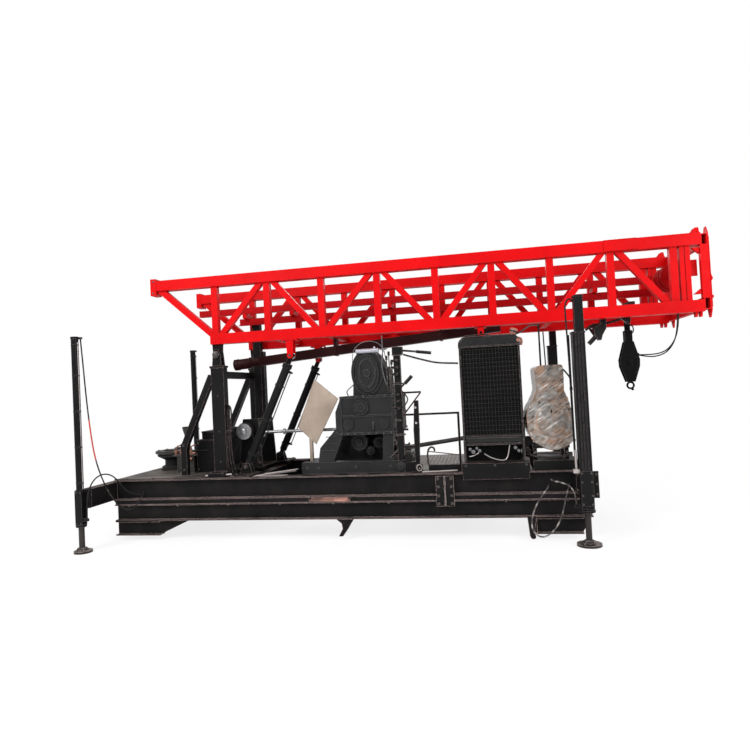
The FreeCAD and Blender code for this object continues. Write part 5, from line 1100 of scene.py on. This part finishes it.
for x, z, radius in ((0.955, 1.005, 0.013), (0.99, 0.975, 0.017), (1.03, 1.015, 0.012), (1.06, 0.985, 0.014),
                     (1.455, 1.01, 0.015), (1.49, 0.975, 0.013)):
    stubs.append(turned([(radius * 0.6, 0.0), (radius, 0.004), (radius, 0.05), (radius * 1.3, 0.052),
                         (radius * 1.3, 0.066), (radius * 0.7, 0.07)], (x, -0.8, z), near, 16))
pipes.append(bar([(1.11, -0.85, 0.95), (1.19, -0.866, 0.905), (1.3, -0.87, 0.875), (1.36, -0.866, 0.905),
                  (1.395, -0.855, 1.045)], 0.006, 8, 7))
lower_guard = block(0.918, 1.53, -0.694, -0.686, 0.856, 1.158, 0.003)
piece("lower_guard", [lower_guard], core_black, "base")
pipes.append(bar([(0.94, -0.83, 0.92), (0.99, -0.84, 0.93), (1.05, -0.84, 0.96)], 0.0055, 8, 5))
piece("lower_pipes", pipes, pale_steel, "base")
piece("pipe_stubs", stubs, galvanised, "base")
dress(cast_grey, "engine_block")
dress(worn_grey, "drive_shaft", "engine_fan")
engine_x = 1.2225
engine_bits = []
for y in np.arange(-0.3, 0.5, 0.13):
    engine_bits.append(boss((0.02, 0.03, 0.018), (0.003, 0.02, 0.026), (engine_x, y, 1.85), up, 12))
    engine_bits.append(block(engine_x - 0.112, engine_x + 0.112, y + 0.045, y + 0.06, 1.765, 1.858, 0.01))
    engine_bits.append(bar([(engine_x - 0.235, y, 1.44), (engine_x - 0.29, y + 0.01, 1.56),
                            (engine_x - 0.225, y + 0.02, 1.7),
                            (engine_x - 0.15, y + 0.02, 1.755)], 0.0045, 6, 6))
    engine_bits += bolt((engine_x - 0.2305, y, 1.15), left, 0.012)
    engine_bits += bolt((engine_x + 0.2305, y, 1.15), right, 0.012)
canister = (0.04, 0.052, 0.044), (0.006, 0.15, 0.165)
engine_bits += [collar(0.03, 0.045, 0.564, 0.004, (engine_x - 0.27, -0.18, 1.42), far, 24),
                boss(*canister, (engine_x + 0.3, -0.1, 1.3), down, 24),
                boss(*canister, (engine_x + 0.3, 0.06, 1.3), down, 24),
                block(engine_x + 0.232, engine_x + 0.31, -0.17, 0.13, 1.3, 1.35, 0.01),
                boss((0.05, 0.062, 0.04), (0.004, 0.15, 0.16), (engine_x - 0.288, 0.05, 1.22), far, 24)]
engine_bits += bolt_circle((engine_x, 0.6705, 1.33), 0.245, 12, far, 0.012)
engine_bits.append(boss((0.06, 0.15, 0.07), (0.004, 0.024, 0.04), (engine_x, 0.6705, 1.33), far, 40))
piece("engine_fittings", engine_bits, worn_grey, "base")
radiator_hoses = [bar([(engine_x + 0.1, -0.47, 1.8), (engine_x + 0.12, -0.56, 1.9),
                       (engine_x + 0.12, -0.63, 2.05), (engine_x + 0.1, -0.705, 2.2)], 0.03, 14, 7),
                  bar([(engine_x + 0.17, -0.36, 1.2), (engine_x + 0.2, -0.52, 1.16),
                       (engine_x + 0.2, -0.64, 1.12), (engine_x + 0.18, -0.735, 1.11)], 0.03, 14, 7)]
piece("coolant_pipes", radiator_hoses, black_rubber, "base")


# ---- unit under film ----------------------------------------------------------------------
# Mud pump set, wrapped for transport in thin stretch film that is gathered at the back. The
# film follows the pump, is drawn into diagonal ridges and lies grey over the rust; its pale slanting streaks
# and the pale ring round its front disc are painted highlights.
def film_skin():
    """Rings of one smooth outline: out from the front centre, straight back, in at the rear.

    The front swells over a round lower disc and ripples along slanting waves whose
    height changes from place to place; every ring is moved along its own outward line."""
    outline = [(1.716, 1.894), (1.86, 1.904), (1.995, 1.896), (2.008, 1.78), (2.006, 1.62), (2.04, 1.53),
               (2.066, 1.4), (2.07, 1.2), (2.064, 1.07), (1.98, 1.0), (1.85, 0.972), (1.745, 1.01),
               (1.64, 1.095), (1.6, 1.23), (1.6, 1.4), (1.668, 1.53), (1.712, 1.64), (1.706, 1.78)]
    count = len(outline)
    ring = eased(at_depth(0.0, *outline * 3), 7)[count * 7:2 * count * 7]
    middle = np.array((1.855, 0.0, 1.4))
    rows = []
    for share in np.linspace(0.04, 0.93, 34):
        rows.append((share, -0.905 + 0.01 * share ** 2, 1.0))
    rows += [(0.965, -0.897, 1.0), (0.99, -0.89, 0.9), (1.0, -0.872, 0.8)]
    rows += [(1.0, y, 0.8) for y in np.linspace(-0.815, -0.36, 13)]
    rows += [(0.99, -0.325, 0.6), (0.93, -0.308, 0.6), (0.82, -0.302, 0.5), (0.7, -0.3, 0.4),
             (0.6, -0.299, 0.3)]
    rows += [(share, -0.298, 0.3) for share in (0.5, 0.4, 0.3, 0.21, 0.13)]
    grid = []
    for share, y, strength in rows:
        points = middle + (ring - middle) * share
        x, z = points[:, 0], points[:, 2]
        slant = np.sin(-48.0 * x + 88.0 * z + 9.0 * y + 2.2 * np.sin(7.0 * x) + 1.6 * np.sin(9.0 * z))
        cross = np.sin(120.0 * z - 30.0 * x + 24.0 * y + 2.0 * np.sin(11.0 * x + 3.0))
        patch = 0.5 + 0.5 * np.sin(13.0 * x + 8.0 * z + 14.0 * y)
        ripple = strength * (0.004 * slant * patch + 0.003 * cross * (1.0 - patch))
        away = np.hypot(x - 1.86, z - 1.29)
        disc = 0.5 - 0.5 * np.tanh((away - 0.17) / 0.01)
        waist = np.exp(-((z - 1.53) / 0.04) ** 2)
        front_share = 1.0 if share < 0.95 and y < -0.6 else 0.0
        points[:, 1] = y - front_share * (0.03 * disc - 0.02 * waist + ripple)
        if not front_share:
            outward = ring - middle
            outward /= np.linalg.norm(outward, axis=1)[:, None]
            points += outward * (ripple + 0.003)[:, None]
        if share < 0.9 and not front_share:
            angle = np.arctan2(z - 1.4, x - 1.855)
            points[:, 1] += (0.9 - share) * (0.016 + 0.014 * np.sin(14.0 * angle + 3.0 * share))
        grid.append(points)
    return woven(np.array(grid), closed=True)


def film_look(name):
    """Clear film over rusty castings: brown clouds, grey haze, pale slanting streaks that are painted
    highlights, and a pale ring round the front disc that is a painted highlight.
    """
    made, tree, base = shader(name)
    cloud = spread(tree, noise(tree, 7.0, 6.0), 0.4, 0.62, 0.0, 1.0)
    haze = spread(tree, noise(tree, 16.0, 8.0, (0.5, 1.0, 1.0), 0.5), 0.46, 0.66, 0.0, 0.8)
    # Pale slanting streaks: painted highlights on the glossy film.
    highlight_streak = spread(tree, noise(tree, 40.0, 5.0, (0.16, 0.5, 1.0), -0.6), 0.56, 0.72, 0.0, 0.75)
    gap = spread(tree, noise(tree, 24.0, 6.0, (0.5, 0.5, 1.4), -0.6), 0.36, 0.46, 0.9, 0.0)
    colour = (0.115, 0.105, 0.095)
    for mask, over in ((cloud, (0.21, 0.12, 0.075)), (haze, (0.25, 0.24, 0.225)), (highlight_streak, (0.6, 0.58, 0.55)),
                       (gap, (0.035, 0.028, 0.025))):
        colour = blend_colours(tree, mask, colour, over)
    # A pale broken ring round the front disc: a painted highlight on the film's ridge.
    flat = tree.nodes.new("ShaderNodeVectorMath")
    flat.operation = "MULTIPLY"
    flat.inputs[1].default_value = (1.0, 0.0, 1.0)
    tree.links.new(place_on_object(tree), flat.inputs[0])
    away = tree.nodes.new("ShaderNodeVectorMath")
    away.operation = "DISTANCE"
    away.inputs[1].default_value = (1.86, 0.0, 1.29)
    tree.links.new(flat.outputs["Vector"], away.inputs[0])
    inner = spread(tree, away.outputs["Value"], 0.16, 0.178, 0.0, 1.0)
    outer = spread(tree, away.outputs["Value"], 0.186, 0.215, 0.8, 0.0)
    broken = spread(tree, noise(tree, 20.0, 5.0), 0.42, 0.62, 0.05, 0.9)
    rim = worked(tree, "MULTIPLY", worked(tree, "MULTIPLY", inner, outer), broken)
    colour = blend_colours(tree, rim, colour, (0.42, 0.38, 0.35))
    surface = tree.nodes.new("ShaderNodeNewGeometry")
    side = spread(tree, parts_of(tree, surface.outputs["Normal"])["X"], -0.35, -0.8, 0.0, 0.75)
    colour = blend_colours(tree, side, colour, (0.34, 0.21, 0.14))
    tree.links.new(colour, base.inputs["Base Color"])
    base.inputs["Roughness"].default_value = 0.26
    base.inputs["Coat Weight"].default_value = 0.5
    base.inputs["Coat Roughness"].default_value = 0.12
    bump(tree, base, noise(tree, 34.0, 6.0, (0.35, 0.6, 1.0), -0.6), 0.7, 0.006)
    return made


film = piece("transport_film", [film_skin()], film_look("film_wrap"), "base", 70.0)
layer = film.modifiers.new("thickness", "SOLIDIFY")
layer.thickness = 0.0006
dress(cast_grey, "wrapped_unit")
stand_bits = bolts((1.67, 2.01), -0.8005, 0.94, near, 0.012)
stand_bits += [bar([(1.6, -0.8, 0.93), (1.68, -0.84, 0.9), (1.9, -0.86, 0.885), (2.06, -0.83, 0.93)],
                   0.013, 8, 6),
               boss((0.03, 0.055, 0.04), (0.004, 0.05, 0.06), (1.6, -0.72, 1.07), near, 22),
               boss((0.022, 0.04, 0.025), (0.004, 0.08, 0.086), (1.585, -0.7, 0.96), near, 20),
               bar([(1.665, -0.75, 0.86), (1.61, -0.74, 0.94), (1.6, -0.74, 1.05)], 0.012, 8, 4),
               bar([(1.585, -0.74, 1.07), (1.56, -0.75, 1.16), (1.572, -0.75, 1.3), (1.6, -0.75, 1.38)],
                   0.01, 8, 6)]
piece("stand_fittings", stand_bits, worn_highlit_links, "base")
clamp = (0.012, 0.017, 0.012), (0.002, 0.03, 0.034)
pole_bits = [bar([(1.79, -0.7, 2.16), (1.79, -0.7, 2.376)], 0.01, 10),
             bar([(1.965, -0.72, 1.885), (2.02, -0.73, 1.86), (2.075, -0.74, 1.79), (2.098, -0.765, 1.74)],
                 0.009, 8, 6),
             boss(*clamp, (2.092, -0.8, 1.62), up, 12),
             boss(*clamp, (2.092, -0.8, 1.05), up, 12)]
piece("unit_pole_fittings", pole_bits, black_enamel, "base")


# ---- hook block and tong --------------------------------------------------------------------
# Travelling block with two cheeks over one sheave, hung from the mast for transport. Its
# paint is rubbed off along the cheek edges and round the axle nut.
hook_x, hook_y = 2.83, -0.3
cheek = [boss((0.022, 0.03, 0.022), (0.002, 0.01, 0.012), (hook_x, hook_y, 2.275), up, 24),
         boss((0.03, 0.036, 0.03), (0.003, 0.02, 0.023), (hook_x, hook_y, 2.32), up, 24),
         bar(at_depth(-0.357, (2.878, 2.1), (2.905, 1.98), (2.908, 1.88), (2.88, 1.76)), 0.005, 8, 5),
         bar([(2.866, -0.33, 2.34), (2.885, -0.345, 2.3), (2.88, -0.345, 2.25), (2.862, -0.33, 2.24)],
             0.007, 8, 5),
         bar(at_depth(hook_y, (2.838, 1.6), (2.852, 1.585), (2.862, 1.59)), 0.013, 8)]
block_black = coated_metal("block_black", (0.0008, 0.0008, 0.0009), (0.16, 0.14, 0.13), (0.02, 0.017, 0.015),
                           rough=0.5, wear=0.6, width=0.004, dusting=0.2, mirror=0.05)
piece("cheek_fittings", cheek, block_black, "hook")
dress(block_black, "hook_block", "hook_sheave")
nut = [(0.019, 0.0), (0.03, 0.001), (0.03, 0.01), (0.022, 0.013), (0.012, 0.013)]
axle = [turned(nut, (hook_x, hook_y - 0.0635, 1.905), near, 6),
        turned(nut, (hook_x, hook_y + 0.0635, 1.905), far, 6)]
piece("axle_nuts", axle, block_black, "hook_wheel")
jaw = at_depth(-0.488, (2.504, 2.421), (2.566, 2.414), (2.563, 2.304), (2.52, 2.232), (2.504, 2.174),
               (2.47, 2.173), (2.43, 2.246), (2.432, 2.32), (2.502, 2.363))
joint = at_depth(-0.47, (2.72, 2.412), (2.8, 2.425), (2.838, 2.395),
                 (2.822, 2.335), (2.79, 2.345), (2.76, 2.38))
arm = at_depth(-0.45, (2.34, 2.3), (2.42, 2.352), (2.56, 2.362), (2.74, 2.404))
tong_bits = [plate(jaw, (0.0, 0.072, 0.0)),
             plate(joint, (0.0, 0.04, 0.0)),
             bar(at_depth(-0.45, (2.48, 2.255), (2.425, 2.195), (2.368, 2.138)), 0.026, 12),
             bar(arm, 0.015, 10, 6),
             boss((0.012, 0.02, 0.012), (0.003, 0.014, 0.018), (2.79, -0.47, 2.385), near, 14)]
# The tong's pale edges are partly painted highlight along the arm's top.
piece("tong_fittings", tong_bits, worn_highlit_links, "mast")


# ---- exhaust -------------------------------------------------------------------------------
# Bare steel pipe that stands up behind the radiator. The heat has burnt its paint off, so
# it is rusted all over.
rusty = coated_metal("rusty_exhaust", (0.14, 0.06, 0.035), (0.25, 0.12, 0.07), (0.2, 0.12, 0.08), rough=0.8,
                     wear=0.6, dusting=0.6, dimple=0.6)
dress(rusty, "exhaust")
